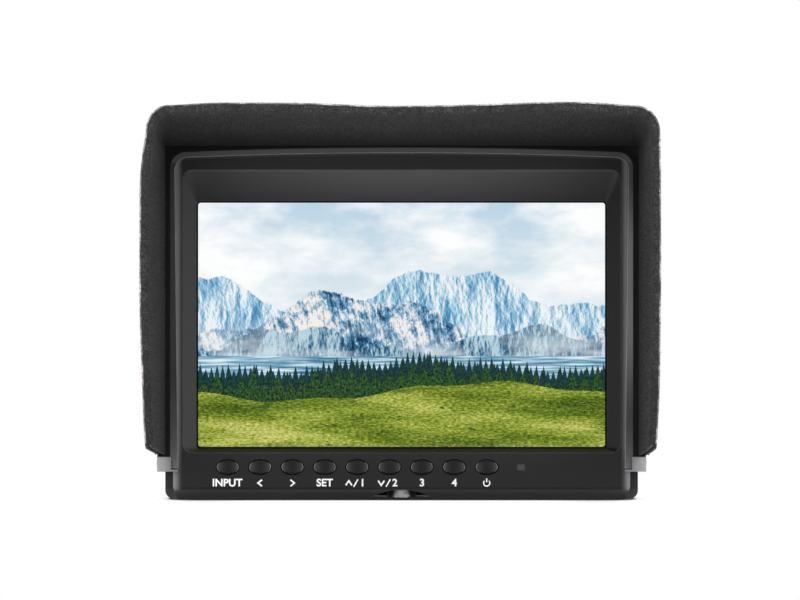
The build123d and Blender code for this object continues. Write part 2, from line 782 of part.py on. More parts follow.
def make_ribbons():
    """Flat cables from the display and from the key board to the main board."""
    half = ribbon_thickness / 2
    tray_side = tray_back_y + half
    board_side = main_board_y - half
    high, bend_high, bend_low, low = (main_board_high - drop for drop in display_ribbon_drops)
    display = ribbon(
        [(tray_side, high), (tray_side, bend_high), (board_side, bend_low), (board_side, low)],
        display_ribbon_left, display_ribbon_width,
    )
    foot, head = (key_board_bottom + rise for rise in key_ribbon_rises)
    key_side = key_board_back_y + half
    end = main_board_low + key_ribbon_reach
    key = ribbon(
        [(key_side, head), (key_side, foot), (board_side, foot), (board_side, end)],
        key_ribbon_left, key_ribbon_width,
    )
    return {"display_ribbon": display, "key_ribbon": key}


def make_hood_frame():
    """Stiff U that slides down over the bezel, with thin lips in front of its edges."""
    height = frame_top - leg_foot_z
    block = Pos(0, leg_foot_z + height / 2) * Rectangle(2 * frame_half_width, height)
    outer_profile = fillet(block.vertices().sort_by(Axis.Y)[-2:], frame_corner)
    solid = slab(outer_profile, lip_y, frame_back_y)
    slot = crowned(
        leg_inner, 0, side_height + frame_gap, crown_rise, 0, bezel_corner + slot_corner_play
    )
    solid -= slab(slot, lip_y - overcut, frame_back_y + overcut)
    shoulder_z = side_height - bezel_corner
    root = leg_inner + merge
    for s in (-1, 1):
        lip = make_face(
            Polyline(
                (s * root, lip_foot_z), (s * (bezel_half_width - lip_low_overlap), lip_foot_z),
                (s * (bezel_half_width - lip_high_overlap), shoulder_z), (s * root, shoulder_z + merge),
                close=True,
            )
        )
        solid += slab(lip, lip_y, lip_y + lip_thickness)
    high = crowned(
        root, shoulder_z - merge, side_height + frame_gap + merge, crown_rise, 0,
        bezel_corner + slot_corner_play,
    )
    high -= crowned(
        bezel_half_width - lip_high_overlap, 0, side_height - lip_top_overlap, crown_rise, 0, bezel_corner
    )
    solid += slab(high, lip_y, lip_y + lip_thickness)
    rivet_y = (lip_y + frame_back_y) / 2
    rivet_z = (leg_foot_z + clip_top_z) / 2
    for s in (-1, 1):
        inner = s * (frame_half_width - clip_thickness)
        outer = s * (frame_half_width + overcut)
        solid -= box((inner, outer), (lip_y - overcut, frame_back_y + overcut), (0, clip_top_z))
        low, high = sorted((outer, s * (frame_half_width - rivet_length)))
        solid -= rod_x(rivet_radius + rivet_play, rivet_y, rivet_z, low, high)
    nose_y = fold_y["right"] + fold_gap
    solid += box(
        (side_inner, frame_half_width), (nose_y, lip_y + merge),
        (side_root_foot_z, frame_top - frame_corner),
    )
    visor_y = fold_y["top"] + fold_gap
    visor_height = top_hinge_drop - visor_gap
    above = Pos(0, frame_top - visor_height / 2) * Rectangle(2 * frame_half_width, visor_height)
    return solid + slab(outer_profile & above, visor_y, lip_y + merge)


def make_hood_clip(s):
    """Folded metal clip round the foot of one leg; s is the side, -1 or 1."""
    t = clip_thickness
    outer = s * frame_half_width
    back = frame_back_y
    inner = s * leg_inner
    clip = box((inner, outer), (lip_y - t, lip_y), (clip_foot_z, clip_top_z))
    clip += box((outer - s * t, outer), (lip_y - t, back), (clip_foot_z, clip_top_z))
    clip += box((inner, outer), (lip_y - t, back), (clip_foot_z, leg_foot_z))
    toe = s * (bezel_half_width - lip_low_overlap)
    clip += box((toe, inner + s * merge), (lip_y - t, lip_y + lip_thickness), (clip_foot_z, leg_foot_z))
    hole_y = (lip_y + back) / 2
    hole_z = (leg_foot_z + clip_top_z) / 2
    low, high = sorted((outer - s * 2 * t, outer + s))
    return clip - rod_x(rivet_radius + rivet_play, hole_y, hole_z, low, high)


def make_clip_rivets():
    """One rivet through each clip into its leg."""
    y = (lip_y + frame_back_y) / 2
    z = (leg_foot_z + clip_top_z) / 2
    rivets = []
    for s in (-1, 1):
        outer = s * frame_half_width
        low, high = sorted((outer, outer - s * rivet_length))
        shank = rod_x(rivet_radius, y, z, low, high)
        low, high = sorted((outer, outer + s * rivet_head_height))
        rivets.append(shank + rod_x(rivet_head_radius, y, z, low, high))
    return Compound(children=rivets)


def make_fold_cloth():
    """Cloth bands glued to the frame, the fixed halves of the three folds."""
    back = frame_back_y - fold_cloth_margin
    low = side_root_foot_z + fold_cloth_margin
    high = frame_top - frame_corner - fold_cloth_margin
    nodes = {}
    for name, s in (("left", -1), ("right", 1)):
        outer = s * frame_half_width
        nodes[name + "_fold_fabric"] = box(
            (outer, outer + s * fold_cloth), (fold_y[name] + fold_gap, back), (low, high)
        )
    half = frame_half_width - frame_corner - fold_cloth_margin
    nodes["top_fold_fabric"] = box(
        (-half, half), (fold_y["top"] + fold_gap, back), (frame_top, frame_top + fold_cloth)
    )
    return nodes


def side_layer(name, s, near, far, inset):
    """One layer of a side panel, from near to far outwards of its inner face."""
    hinge = fold_y[name]
    front = hood_front_y + inset
    root = hinge - inset
    low_root = side_root_foot_z + inset
    low_front = side_front_foot_z + inset
    top = side_top_z - inset
    face = make_face(
        Polyline((root, low_root), (root, top), (front, top), (front, low_front), close=True)
    )
    corner = face.vertices().sort_by(Axis.X)[0:2].sort_by(Axis.Y)[0]
    face = fillet(corner, side_foot_corner)
    left, right = sorted((s * (side_inner + near), s * (side_inner + far)))
    flat = bar_x(face, left, right)
    axis = Axis((s * side_inner, hinge, 0), (0, 0, 1))
    return flat.rotate(axis, -s * side_lean)


def make_side_panel(name, s):
    """Felt, stiffener and cover of one side panel."""
    a = felt_thickness
    b = a + stiffener_thickness
    return {
        name + "_felt": side_layer(name, s, 0, a, 0),
        name + "_board": side_layer(name, s, a, b, stiffener_inset),
        name + "_cover": side_layer(name, s, b, panel_thickness, 0),
    }


def top_layer(near, far, inset):
    """One layer of the top panel, from near to far above its lower face."""
    root = fold_y["top"]
    length = (root - hood_front_y) / cos(radians(top_rise))
    near_half = top_root_half - inset
    far_half = top_front_half - inset
    near_y = root - inset
    far_y = root - length + inset
    face = make_face(
        Polyline(
            (-near_half, near_y), (near_half, near_y), (far_half, far_y), (-far_half, far_y), close=True
        )
    )
    flat = extrude(Plane.XY.offset(top_hinge_z + near) * face, amount=far - near)
    return flat.rotate(Axis((0, root, top_hinge_z), (1, 0, 0)), -top_rise)


def gusset_section(s, y):
    """Section of the corner gusset at y: a quarter-round band from the top panel to the side."""
    name = "left" if s < 0 else "right"
    root = fold_y["top"]
    share = (root - y) / (root - hood_front_y)
    near_x = top_root_half + share * (top_front_half - top_root_half) + gusset_gap
    felt_x = side_inner - (fold_y[name] - y) * tan(radians(side_lean))
    far_x = felt_x + (panel_thickness + gusset_thickness) / 2
    middle = top_hinge_z + panel_thickness / 2 + (root - y) * tan(radians(top_rise))
    high = middle + gusset_thickness / 2
    low = high - gusset_thickness
    foot = side_top_z + gusset_gap
    t = gusset_thickness
    outer = TangentArc((near_x, high), (far_x, foot), tangent=(1, 0))
    inner = TangentArc((near_x, low), (far_x - t, foot), tangent=(1, 0))
    foot_line = Line((far_x, foot), (far_x - t, foot))
    face = make_face([outer, foot_line, inner, Line((near_x, low), (near_x, high))])
    if s < 0:
        face = mirror(face, about=Plane.YZ)
    return Plane.XZ.offset(-y) * face


def make_gusset(s):
    """Soft corner between the top panel and one side panel."""
    root = fold_y["top"] - gusset_start
    return loft([gusset_section(s, root), gusset_section(s, hood_front_y)], ruled=True)


def make_top_panel():
    """Felt, stiffener and cover of the top panel, and its two soft corners."""
    a = felt_thickness
    b = a + stiffener_thickness
    return {
        "top_felt": top_layer(0, a, 0),
        "top_board": top_layer(a, b, stiffener_inset),
        "top_cover": top_layer(b, panel_thickness, 0),
        "corner_gusset_left": make_gusset(-1),
        "corner_gusset_right": make_gusset(1),
    }


def make_all():
    """Every node by name."""
    nodes = {"front_bezel": make_front_bezel(), "rear_cover": make_rear_cover()}
    nodes.update(make_display())
    nodes.update(make_key_electronics())
    for name, x in key_places():
        nodes["key_" + name] = make_key(x)
    nodes["main_board"] = make_main_board()
    nodes.update(make_sockets())
    nodes["speaker"] = make_speaker()
    nodes["tripod_insert"] = make_tripod_insert()
    nodes["battery_plate"] = make_battery_plate()
    nodes["battery_contacts"] = Compound(children=[contact_shape(x) for x in contact_places()])
    nodes["battery_catch"] = make_battery_catch()
    nodes["latch_spring"] = make_latch_spring()
    nodes.update(make_fasteners())
    nodes.update(make_ribbons())
    nodes["hood_frame"] = make_hood_frame()
    nodes["hood_clip_left"] = make_hood_clip(-1)
    nodes["hood_clip_right"] = make_hood_clip(1)
    nodes["clip_rivets"] = make_clip_rivets()
    nodes.update(make_fold_cloth())
    nodes.update(make_side_panel("left", -1))
    nodes.update(make_side_panel("right", 1))
    nodes.update(make_top_panel())
    return nodes


os.makedirs("parts", exist_ok=True)
for node_name, shape in make_all().items():
    export_step(shape, "parts/" + node_name + ".step")
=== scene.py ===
import json
import math

import bmesh
import bpy
from mathutils import Matrix, Vector, noise

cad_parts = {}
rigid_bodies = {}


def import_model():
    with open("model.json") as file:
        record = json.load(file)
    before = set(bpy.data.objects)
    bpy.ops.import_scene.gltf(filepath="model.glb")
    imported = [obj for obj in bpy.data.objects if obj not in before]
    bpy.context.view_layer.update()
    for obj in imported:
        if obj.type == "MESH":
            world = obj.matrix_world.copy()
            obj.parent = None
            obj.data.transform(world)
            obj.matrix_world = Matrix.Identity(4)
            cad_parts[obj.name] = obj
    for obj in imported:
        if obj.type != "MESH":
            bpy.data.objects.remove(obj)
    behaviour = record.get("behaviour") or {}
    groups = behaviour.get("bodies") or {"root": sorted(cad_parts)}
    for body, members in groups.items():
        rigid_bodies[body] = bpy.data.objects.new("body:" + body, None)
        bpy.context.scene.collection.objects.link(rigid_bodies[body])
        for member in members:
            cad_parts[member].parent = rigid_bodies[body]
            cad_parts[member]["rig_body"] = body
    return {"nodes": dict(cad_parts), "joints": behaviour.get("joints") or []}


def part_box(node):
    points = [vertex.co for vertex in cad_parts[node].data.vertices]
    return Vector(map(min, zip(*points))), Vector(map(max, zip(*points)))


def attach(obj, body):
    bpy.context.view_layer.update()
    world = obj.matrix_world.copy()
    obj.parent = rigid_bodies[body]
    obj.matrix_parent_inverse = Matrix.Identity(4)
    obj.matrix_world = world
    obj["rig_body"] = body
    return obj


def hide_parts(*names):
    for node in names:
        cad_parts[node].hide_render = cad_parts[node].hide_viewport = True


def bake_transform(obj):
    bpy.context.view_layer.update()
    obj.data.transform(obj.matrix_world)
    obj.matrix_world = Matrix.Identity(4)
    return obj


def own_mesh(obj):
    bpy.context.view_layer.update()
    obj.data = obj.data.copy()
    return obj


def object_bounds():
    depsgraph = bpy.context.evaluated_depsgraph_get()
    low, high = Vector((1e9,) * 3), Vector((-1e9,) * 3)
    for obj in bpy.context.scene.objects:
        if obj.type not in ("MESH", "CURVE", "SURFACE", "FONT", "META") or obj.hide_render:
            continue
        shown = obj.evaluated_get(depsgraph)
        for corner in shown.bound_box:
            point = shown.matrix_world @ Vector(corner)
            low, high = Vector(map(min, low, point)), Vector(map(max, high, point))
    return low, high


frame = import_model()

# Looks of a seven inch camera field monitor with a fold-flat sun hood.
# Lengths are metres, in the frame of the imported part: +Z up, the screen looks along -Y.

MM = 0.001
CAD_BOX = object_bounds()
NODES = frame["nodes"]
JOINTS = {joint["name"]: joint for joint in frame["joints"]}

# ---- camera and light ----------------------------------------------------------------
CAMERA_PLACE = Vector((-0.0006, -1.009, 0.0746))
CAMERA_LENS = 120.0          # millimetres, on a 36 mm wide sensor
FLOOR_DROP = 0.0002
TABLE_LIGHT = 0.35           # the floor is a weak light table, so the underside isn't black

# ---- housing -------------------------------------------------------------------------
FACE_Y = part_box("front_bezel")[0].y
FRONT_HALF = 85.4 * MM       # half the width of the raised front
FRONT_TOP = 131.3 * MM       # its height in the middle
FRONT_CORNER = 5.0 * MM
CROWN_FALL = 0.26            # how fast the crowned top falls away sideways, per metre
LIP_HALF = 86.0 * MM         # outer side of the hood frame's lips
LIP_TOP = 131.2 * MM         # upper edge of the lip in the middle
LIP_CORNER = 5.4 * MM
SLOPE_HALF = 81.6 * MM       # outer edge of the slopes round the screen
SLOPE_FOOT = 17.6 * MM
SLOPE_TOP = 123.2 * MM
SLOPE_CORNER = 3.4 * MM
FOOT_BEVEL = 3.75 * MM       # height of the slope along the lower front edge
FOOT_BEVEL_DEPTH = 6.2 * MM
KEYS = ("input", "left", "right", "set", "up", "down", "f3", "f4", "power")
KEY_LOW, KEY_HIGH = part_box("key_input")
KEY_FIRST = (KEY_LOW + KEY_HIGH) / 2
KEY_GAP = 0.5 * MM           # between a cap and its hole; the flange behind reaches as far again
HOLE_HALF = (KEY_HIGH - KEY_LOW) / 2 - Vector((KEY_GAP, 0, KEY_GAP))
KEY_HALF = HOLE_HALF - Vector((KEY_GAP, 0, KEY_GAP))
KEY_PITCH = (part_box("key_power")[0].x - KEY_LOW.x) / (len(KEYS) - 1)
PRINT_LIFT = 0.02 * MM       # how far the printed legends stand out of the face
LEGEND_Z = 6.35 * MM
LEGEND_HEIGHT = 2.8 * MM
STROKE = 0.55 * MM           # width of a printed line
ARROW_WIDTH = 1.5 * MM
ARROW_HEIGHT = 2.4 * MM
CARET_WIDTH = 2.3 * MM
CARET_HEIGHT = 1.7 * MM
CARET_SHIFT = -3.1 * MM      # from the middle of the key
SLASH_RUN = 1.6 * MM
SLASH_SHIFT = -0.5 * MM
DIGIT_SHIFT = 2.0 * MM
POWER_RADIUS = 1.15 * MM     # of the power key's mark

# ---- tripod insert -------------------------------------------------------------------
INSERT_BORE = 3.175 * MM     # quarter inch thread
THREAD_DEPTH = 8.0 * MM
INSERT_BODY = 4.3 * MM
INSERT_FLANGE = 3.75 * MM    # height of the flange
SKIRT_Y = 7.0 * MM           # back edge of the recess round the insert
SKIRT_HALF = 13.2 * MM
SKIRT_HEIGHT = 1.55 * MM
SKIRT_DEPTH = 1.2 * MM
SKIRT_SLOPE = 0.8 * MM       # rise of the rear cover's taper over that depth

# ---- picture on the screen -----------------------------------------------------------
PICTURE_WIDTH = 152.4 * MM
PICTURE_HEIGHT = 91.4 * MM
PICTURE_CORNER = 0.9 * MM

# ---- hood ----------------------------------------------------------------------------
FELT = 0.8 * MM              # thickness of the lining
BOARD = 1.4 * MM             # stiffener between lining and cover
COVER = 0.8 * MM
PANEL = FELT + BOARD + COVER
BOARD_INSET = 1.2 * MM
SIDE_FOOT_RISE = 7.4 * MM    # foot of a side panel's front edge above the foot of its root
SIDE_FOOT_CORNER = 4.0 * MM
TOP_NARROWING = 7.6 * MM     # the top panel's front is this much narrower at each side
ROOT_GAP = 0.3 * MM
GUSSET_WIDTH = 13.0 * MM     # the soft corner's cloth is cut this wide at its front
CORNER_OVERLAP = 0.2 * MM
CORNER_FULL = 0.02           # how much fuller than a quarter circle the soft corner is
EDGE_ROUND = 2.3 * MM        # bend of the lining over a panel's front edge
EDGE_STEPS = 8
RIM_STEPS = 3                # rows of faces between that bend and the cover
CUT_EDGE_STEPS = 2           # of them and the bend's, how many show the felt's cut edge
NAP_START = 9.0 * MM         # no loose nap nearer than this to the fold or a panel's head
NAP_STRETCH = 3.2            # tufts lie this much longer along a panel's depth than across
RIM_ROUND = 0.25 * MM        # rounding of a soft sheet's rim
# Loose fibres of the nap: how many to a square metre, how long and how thick.
FELT_NAP = (0.7 / MM ** 2, 0.7 * MM, 0.08 * MM)
EDGE_NAP = (4.5 / MM ** 2, 0.42 * MM, 0.05 * MM)
FOLD_START = 0.8 * MM        # the cloth over a fold lies on its panel from here
FOLD_REACH = 8.0 * MM        # to here in front of the hinge
FOLD_LIFT = 0.02 * MM        # and so far off the cover


# ======================================================================================
# small tools
# ======================================================================================

def srgb(text):
    """Linear colour from an sRGB hex value."""
    channels = [int(text[i:i + 2], 16) / 255 for i in (0, 2, 4)]
    linear = [c / 12.92 if c <= 0.04045 else ((c + 0.055) / 1.055) ** 2.4 for c in channels]
    return (*linear, 1.0)


def feed(node, inputs):
    """Sets inputs of a node to numbers, hex colours or what other nodes give.

    A node stands for the first of its outputs in use."""
    for key, value in inputs.items():
        if isinstance(value, bpy.types.Node):
            value = next(output for output in value.outputs if output.enabled)
        if isinstance(value, bpy.types.NodeSocket):
            node.id_data.links.new(value, node.inputs[key])
        else:
            node.inputs[key].default_value = srgb(value) if isinstance(value, str) else value


def add(tree, kind, *values, stops=(), **settings):
    """Adds one node with its settings and feeds it.

    kind leaves out ShaderNode, and names the operation of a maths node after a dot. values go
    to the inputs in use, in their order, or are one dict of inputs. stops are a colour ramp's
    (position, hex) pairs."""
    kind, _, operation = kind.partition(".")
    node = tree.nodes.new(kind if "Node" in kind else "ShaderNode" + kind)
    if operation:
        node.operation = operation
    for name, value in settings.items():
        setattr(node, name, value)
    if stops:
        elements = node.color_ramp.elements
        while len(elements) < len(stops):
            elements.new(0.5)
        for element, (position, colour) in zip(elements, stops):
            element.position = position
            element.color = srgb(colour)
    if not values or not isinstance(values[0], dict):
        in_use = [i for i, socket in enumerate(node.inputs) if socket.enabled]
        values = [dict(zip(in_use, values))]
    feed(node, values[0])
    return node


def link_object(name, data):
    """An object for a mesh, curve, camera or light, in the scene."""
    piece = bpy.data.objects.new(name, data)
    bpy.context.scene.collection.objects.link(piece)
    return piece


def piece_from_bmesh(name, shape, smooth=True):
    """Object from a bmesh, with its normals made to point outwards."""
    bmesh.ops.recalc_face_normals(shape, faces=shape.faces)
    mesh = bpy.data.meshes.new(name)
    shape.to_mesh(mesh)
    shape.free()
    for face in mesh.polygons:
        face.use_smooth = smooth
    return link_object(name, mesh)


def bake_modifiers(piece):
    """Replaces a piece's mesh by what its modifiers make of it."""
    graph = bpy.context.evaluated_depsgraph_get()
    graph.update()
    mesh = bpy.data.meshes.new_from_object(piece.evaluated_get(graph))
    old = piece.data
    piece.modifiers.clear()
    piece.data = mesh
    mesh.name = piece.name
    if isinstance(old, bpy.types.Mesh):
        bpy.data.meshes.remove(old)
    return piece


def finish_piece(piece, body, slot, *materials):
    """Gives a piece its materials and body; slot is not used."""
    if materials and piece.data.materials:
        piece.data.materials.clear()
    for material in materials:
        piece.data.materials.append(material)
    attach(piece, body)
    return piece


def smooth_step(low, high, value):
    """0 below low, 1 above high and a soft ramp between them."""
    t = min(max((value - low) / (high - low), 0.0), 1.0)
    return t * t * (3 - 2 * t)


def solid_boxes(node):
    """Lowest and highest corner of each separate solid of a CAD node."""
    shape = bmesh.new()
    shape.from_mesh(NODES[node].data)
    bmesh.ops.remove_doubles(shape, verts=shape.verts, dist=1e-6)
    left = set(shape.verts)
    found = []
    while left:
        stack = [left.pop()]
        part = list(stack)
        while stack:
            for edge in stack.pop().link_edges:
                for vertex in edge.verts:
                    if vertex in left:
                        left.discard(vertex)
                        stack.append(vertex)
                        part.append(vertex)
        low = Vector([min(v.co[i] for v in part) for i in range(3)])
        high = Vector([max(v.co[i] for v in part) for i in range(3)])
        found.append((low, high))
    shape.free()
    return sorted(found, key=lambda pair: (round(pair[0].x, 5), round(pair[0].z, 5)))


# ======================================================================================
# materials
# ======================================================================================

def new_material(name):
    """A material, its tree, its one Principled shader and the object's coordinates."""
    material = bpy.data.materials.new(name)
    material.use_nodes = True
    tree = material.node_tree
    tree.nodes.clear()
    output = add(tree, "OutputMaterial")
    shader = add(tree, "BsdfPrincipled")
    feed(output, {"Surface": shader})
    place = add(tree, "TexCoord").outputs["Object"]
    return material, tree, shader, place


def grain(tree, place, size, detail=2.0, rough=0.5, stretch=(1, 1, 1)):
    """Noise whose spots are about size metres across."""
    scaled = add(tree, "Mapping", {"Vector": place, "Scale": stretch})
    settings = {"Vector": scaled, "Scale": 1 / size, "Detail": detail, "Roughness": rough}
    return add(tree, "TexNoise", settings)


def edge_distance(tree, across, up, half_width, half_height, corner):
    """Distance outside a rounded rectangle round the origin, negative inside it."""
    out = [
        add(tree, "Math.SUBTRACT", add(tree, "Math.ABSOLUTE", place), half - corner)
        for place, half in ((across, half_width), (up, half_height))
    ]
    beyond = [add(tree, "Math.POWER", add(tree, "Math.MAXIMUM", value, 0.0), 2.0) for value in out]
    outside = add(tree, "Math.SQRT", add(tree, "Math.ADD", *beyond))
    inside = add(tree, "Math.MINIMUM", add(tree, "Math.MAXIMUM", *out), 0.0)
    return add(tree, "Math.SUBTRACT", add(tree, "Math.ADD", outside, inside), corner)


def painted_edge_highlight(tree, colour, light, radius, sideways=False):
    """Paints a highlight along sharp edges by lightening the colour there.

    With sideways, only the edges that face left or right get the painted highlight."""
    rounded = add(tree, "Bevel", {"Radius": radius}, samples=6)
    plain = add(tree, "NewGeometry").outputs["True Normal"]
    same = add(tree, "VectorMath.DOT_PRODUCT", rounded, plain)
    edge_light = add(tree, "MapRange", same, 0.997, 0.88, 0, 1)
    if sideways:
        turned = add(tree, "SeparateXYZ", rounded).outputs["X"]
        turned = add(tree, "MapRange", add(tree, "Math.ABSOLUTE", turned), 0.05, 0.45, 0, 1)
        edge_light = add(tree, "Math.MULTIPLY", edge_light, turned)
    return add(tree, "Mix", edge_light, colour, light, data_type="RGBA")


def bump(tree, shader, height, depth, strength=1.0, edge=0.0):
    """Bump of a real depth in metres, over edges that catch the light with a radius of edge."""
    settings = {"Height": height, "Distance": depth, "Strength": strength}
    if edge > 0:
        settings["Normal"] = add(tree, "Bevel", {"Radius": edge}, samples=6)
    feed(shader, {"Normal": add(tree, "Bump", settings)})


def spotted(name, spots, stops, roughness, relief=None, inputs=None):
    """A finish with one kind of spots.

    spots are what grain takes, stops its colours, roughness one value or its two ends, and
    relief the bump's depth and strength."""
    material, tree, shader, place = new_material(name)
    marks = grain(tree, place, *spots)
    if isinstance(roughness, tuple):
        roughness = add(tree, "MapRange", marks, 0.3, 0.7, *roughness)
    feed(shader, {"Base Color": add(tree, "ValToRGB", marks, stops=stops), "Roughness": roughness})
    feed(shader, inputs or {})
    if relief:
        bump(tree, shader, marks, *relief)
    return material


def moulded_plastic(name, dark, light, roughness, spark=0.45 * MM, depth=0.012 * MM, edge=0.35 * MM):
    """Injection-moulded plastic from a spark-eroded mould: even, fine-grained and satin."""
    material, tree, shader, place = new_material(name)
    cloud = grain(tree, place, 18 * MM, 3)
    fine = grain(tree, place, spark, 3, 0.6)
    colour = add(tree, "ValToRGB", cloud, stops=((0.3, dark), (0.7, light)))
    feed(shader, {
        "Base Color": colour,
        "Roughness": add(tree, "MapRange", fine, 0.3, 0.7, roughness - 0.05, roughness + 0.06),
        "IOR": 1.5, "Specular IOR Level": 0.25,
    })
    bump(tree, shader, fine, depth, 0.5, edge)
    return material


def reopened(material):
    """Tree, shader and coordinates of a material that is worked on further."""
    tree = material.node_tree
    shader = next(node for node in tree.nodes if node.type == "BSDF_PRINCIPLED")
    return tree, shader, add(tree, "TexCoord").outputs["Object"]


def fed(shader, name):
    """What feeds one input of a shader so far."""
    return shader.inputs[name].links[0].from_socket


def front_axes(tree, place, top):
    """Across and up on the monitor's front, from its middle, with the top's crown made level."""
    axes = add(tree, "SeparateXYZ", place).outputs
    crown = add(tree, "Math.MULTIPLY", add(tree, "Math.POWER", axes["X"], 2.0), CROWN_FALL)
    up = add(tree, "Math.SUBTRACT", add(tree, "Math.ADD", axes["Z"], crown), top / 2)
    return axes["X"], up, axes["Y"]


def frame_plastic():
    """The hood frame's satin plastic, painted near black on its front beside the lips, where the
    hood's shade falls.
    """
    material = moulded_plastic("frame_plastic", "252526", "2a2a2b", 0.4, 0.5 * MM)
    tree, shader, place = reopened(material)
    across, up, back = front_axes(tree, place, LIP_TOP)
    away = edge_distance(tree, across, up, LIP_HALF, LIP_TOP / 2, LIP_CORNER)
    front = add(tree, "MapRange", back, FACE_Y - 1.2 * MM, FACE_Y - 1.35 * MM, 0, 1)
    # Painted shade: the frame's front beside the lips is near black, as deep under the hood.
    hood_shade = add(tree, "Math.MULTIPLY", add(tree, "MapRange", away, 0, 0.3 * MM, 0, 1), front)
    plain = fed(shader, "Base Color")
    # Painted light on the lips: lighter towards the foot, where the hood shades them least,
    # and painted highlights along the top and the right side.
    height = add(tree, "SeparateXYZ", place).outputs["Z"]
    crest = add(tree, "MapRange", up, LIP_TOP / 2 - 4.5 * MM, LIP_TOP / 2 - 3 * MM, 0, 1)
    plain = add(tree, "Mix", crest, plain, "474749", data_type="RGBA")
    right = add(tree, "MapRange", across, LIP_HALF - 4.5 * MM, LIP_HALF - 3 * MM, 0, 1)
    for fade in ((30 * MM, 60 * MM, 0, 1), (95 * MM, 116 * MM, 1, 0.25)):
        right = add(tree, "Math.MULTIPLY", right, add(tree, "MapRange", height, *fade))
    plain = add(tree, "Mix", right, plain, "6a6a6c", data_type="RGBA")
    foot = add(tree, "MapRange", height, 45 * MM, 12 * MM, 0, 1)
    plain = add(tree, "Mix", foot, plain, "4d4d4e", data_type="RGBA")
    plain = painted_edge_highlight(tree, plain, "a2a2a4", 0.4 * MM)
    feed(shader, {
        "Base Color": add(tree, "Mix", hood_shade, plain, "0e0e0e", data_type="RGBA"),
        "Roughness": add(tree, "Mix", hood_shade, fed(shader, "Roughness"), 0.95),
    })
    return material


def key_axes(tree, axes, half):
    """Across and up from the middle of the nearest key, and the distance, as shares of half."""
    step = add(tree, "Math.MULTIPLY_ADD", axes["X"], 1 / KEY_PITCH, 0.5 - KEY_FIRST.x / KEY_PITCH)
    nearest = add(tree, "Math.SUBTRACT", add(tree, "Math.FRACT", step), 0.5)
    across = add(tree, "Math.MULTIPLY", nearest, KEY_PITCH / half.x)
    up = add(tree, "Math.MULTIPLY_ADD", axes["Z"], 1 / half.z, -KEY_FIRST.z / half.z)
    squares = [
        add(tree, "Math.POWER", add(tree, "Math.ABSOLUTE", value), 2.0)
        for value in (across, up)
    ]
    distance = add(tree, "Math.SQRT", add(tree, "Math.ADD", *squares))
    return across, up, distance


def shade_slopes(tree, axes, face, colour):
    """Painted light and shade on the slopes round the screen: paler than the face, most in the top's
    middle.
    """
    facing = add(tree, "NewGeometry").outputs["True Normal"]
    facing = add(tree, "SeparateXYZ", facing).outputs
    middle = (SLOPE_FOOT + SLOPE_TOP) / 2
    up = add(tree, "Math.SUBTRACT", axes["Z"], middle)
    half_height = (SLOPE_TOP - SLOPE_FOOT) / 2
    away = edge_distance(tree, axes["X"], up, SLOPE_HALF, half_height, SLOPE_CORNER)
    inside = add(tree, "Math.MULTIPLY", add(tree, "MapRange", away, 0.15 * MM, 0, 0, 1), face)
    # Painted highlight on the top slope, most in its middle and along its upper rim.
    slope_light_spread = add(tree, "MapRange", add(tree, "Math.ABSOLUTE", axes["X"]), 8 * MM, 70 * MM, 1, 0.42)
    fall = add(tree, "MapRange", axes["Z"], SLOPE_TOP - 11 * MM, SLOPE_TOP - 0.8 * MM, 0.34, 1.1)
    rim = add(tree, "MapRange", axes["Z"], SLOPE_TOP - 0.9 * MM, SLOPE_TOP - 0.3 * MM, 0, 0.9)
    top = add(tree, "Math.MULTIPLY", add(tree, "MapRange", facing["Z"], -0.08, -0.2, 0, 1), inside)
    top = add(tree, "Math.MULTIPLY", top, slope_light_spread)
    top = add(tree, "Math.MULTIPLY", top, add(tree, "Math.ADD", fall, rim))
    colour = add(tree, "Mix", top, colour, "505051", data_type="RGBA")
    # Painted light on the lower and left slopes, and painted shade on the right one.
    low = add(tree, "Math.MULTIPLY", add(tree, "MapRange", facing["Z"], 0.08, 0.2, 0, 1), inside)
    colour = add(tree, "Mix", low, colour, "3c3c3e", data_type="RGBA")
    left = add(tree, "Math.MULTIPLY", add(tree, "MapRange", facing["X"], 0.2, 0.4, 0, 1), inside)
    colour = add(tree, "Mix", left, colour, "363637", data_type="RGBA")
    right = add(tree, "Math.MULTIPLY", add(tree, "MapRange", facing["X"], -0.2, -0.4, 0, 1), inside)
    return add(tree, "Mix", right, colour, "0e0e0f", data_type="RGBA")


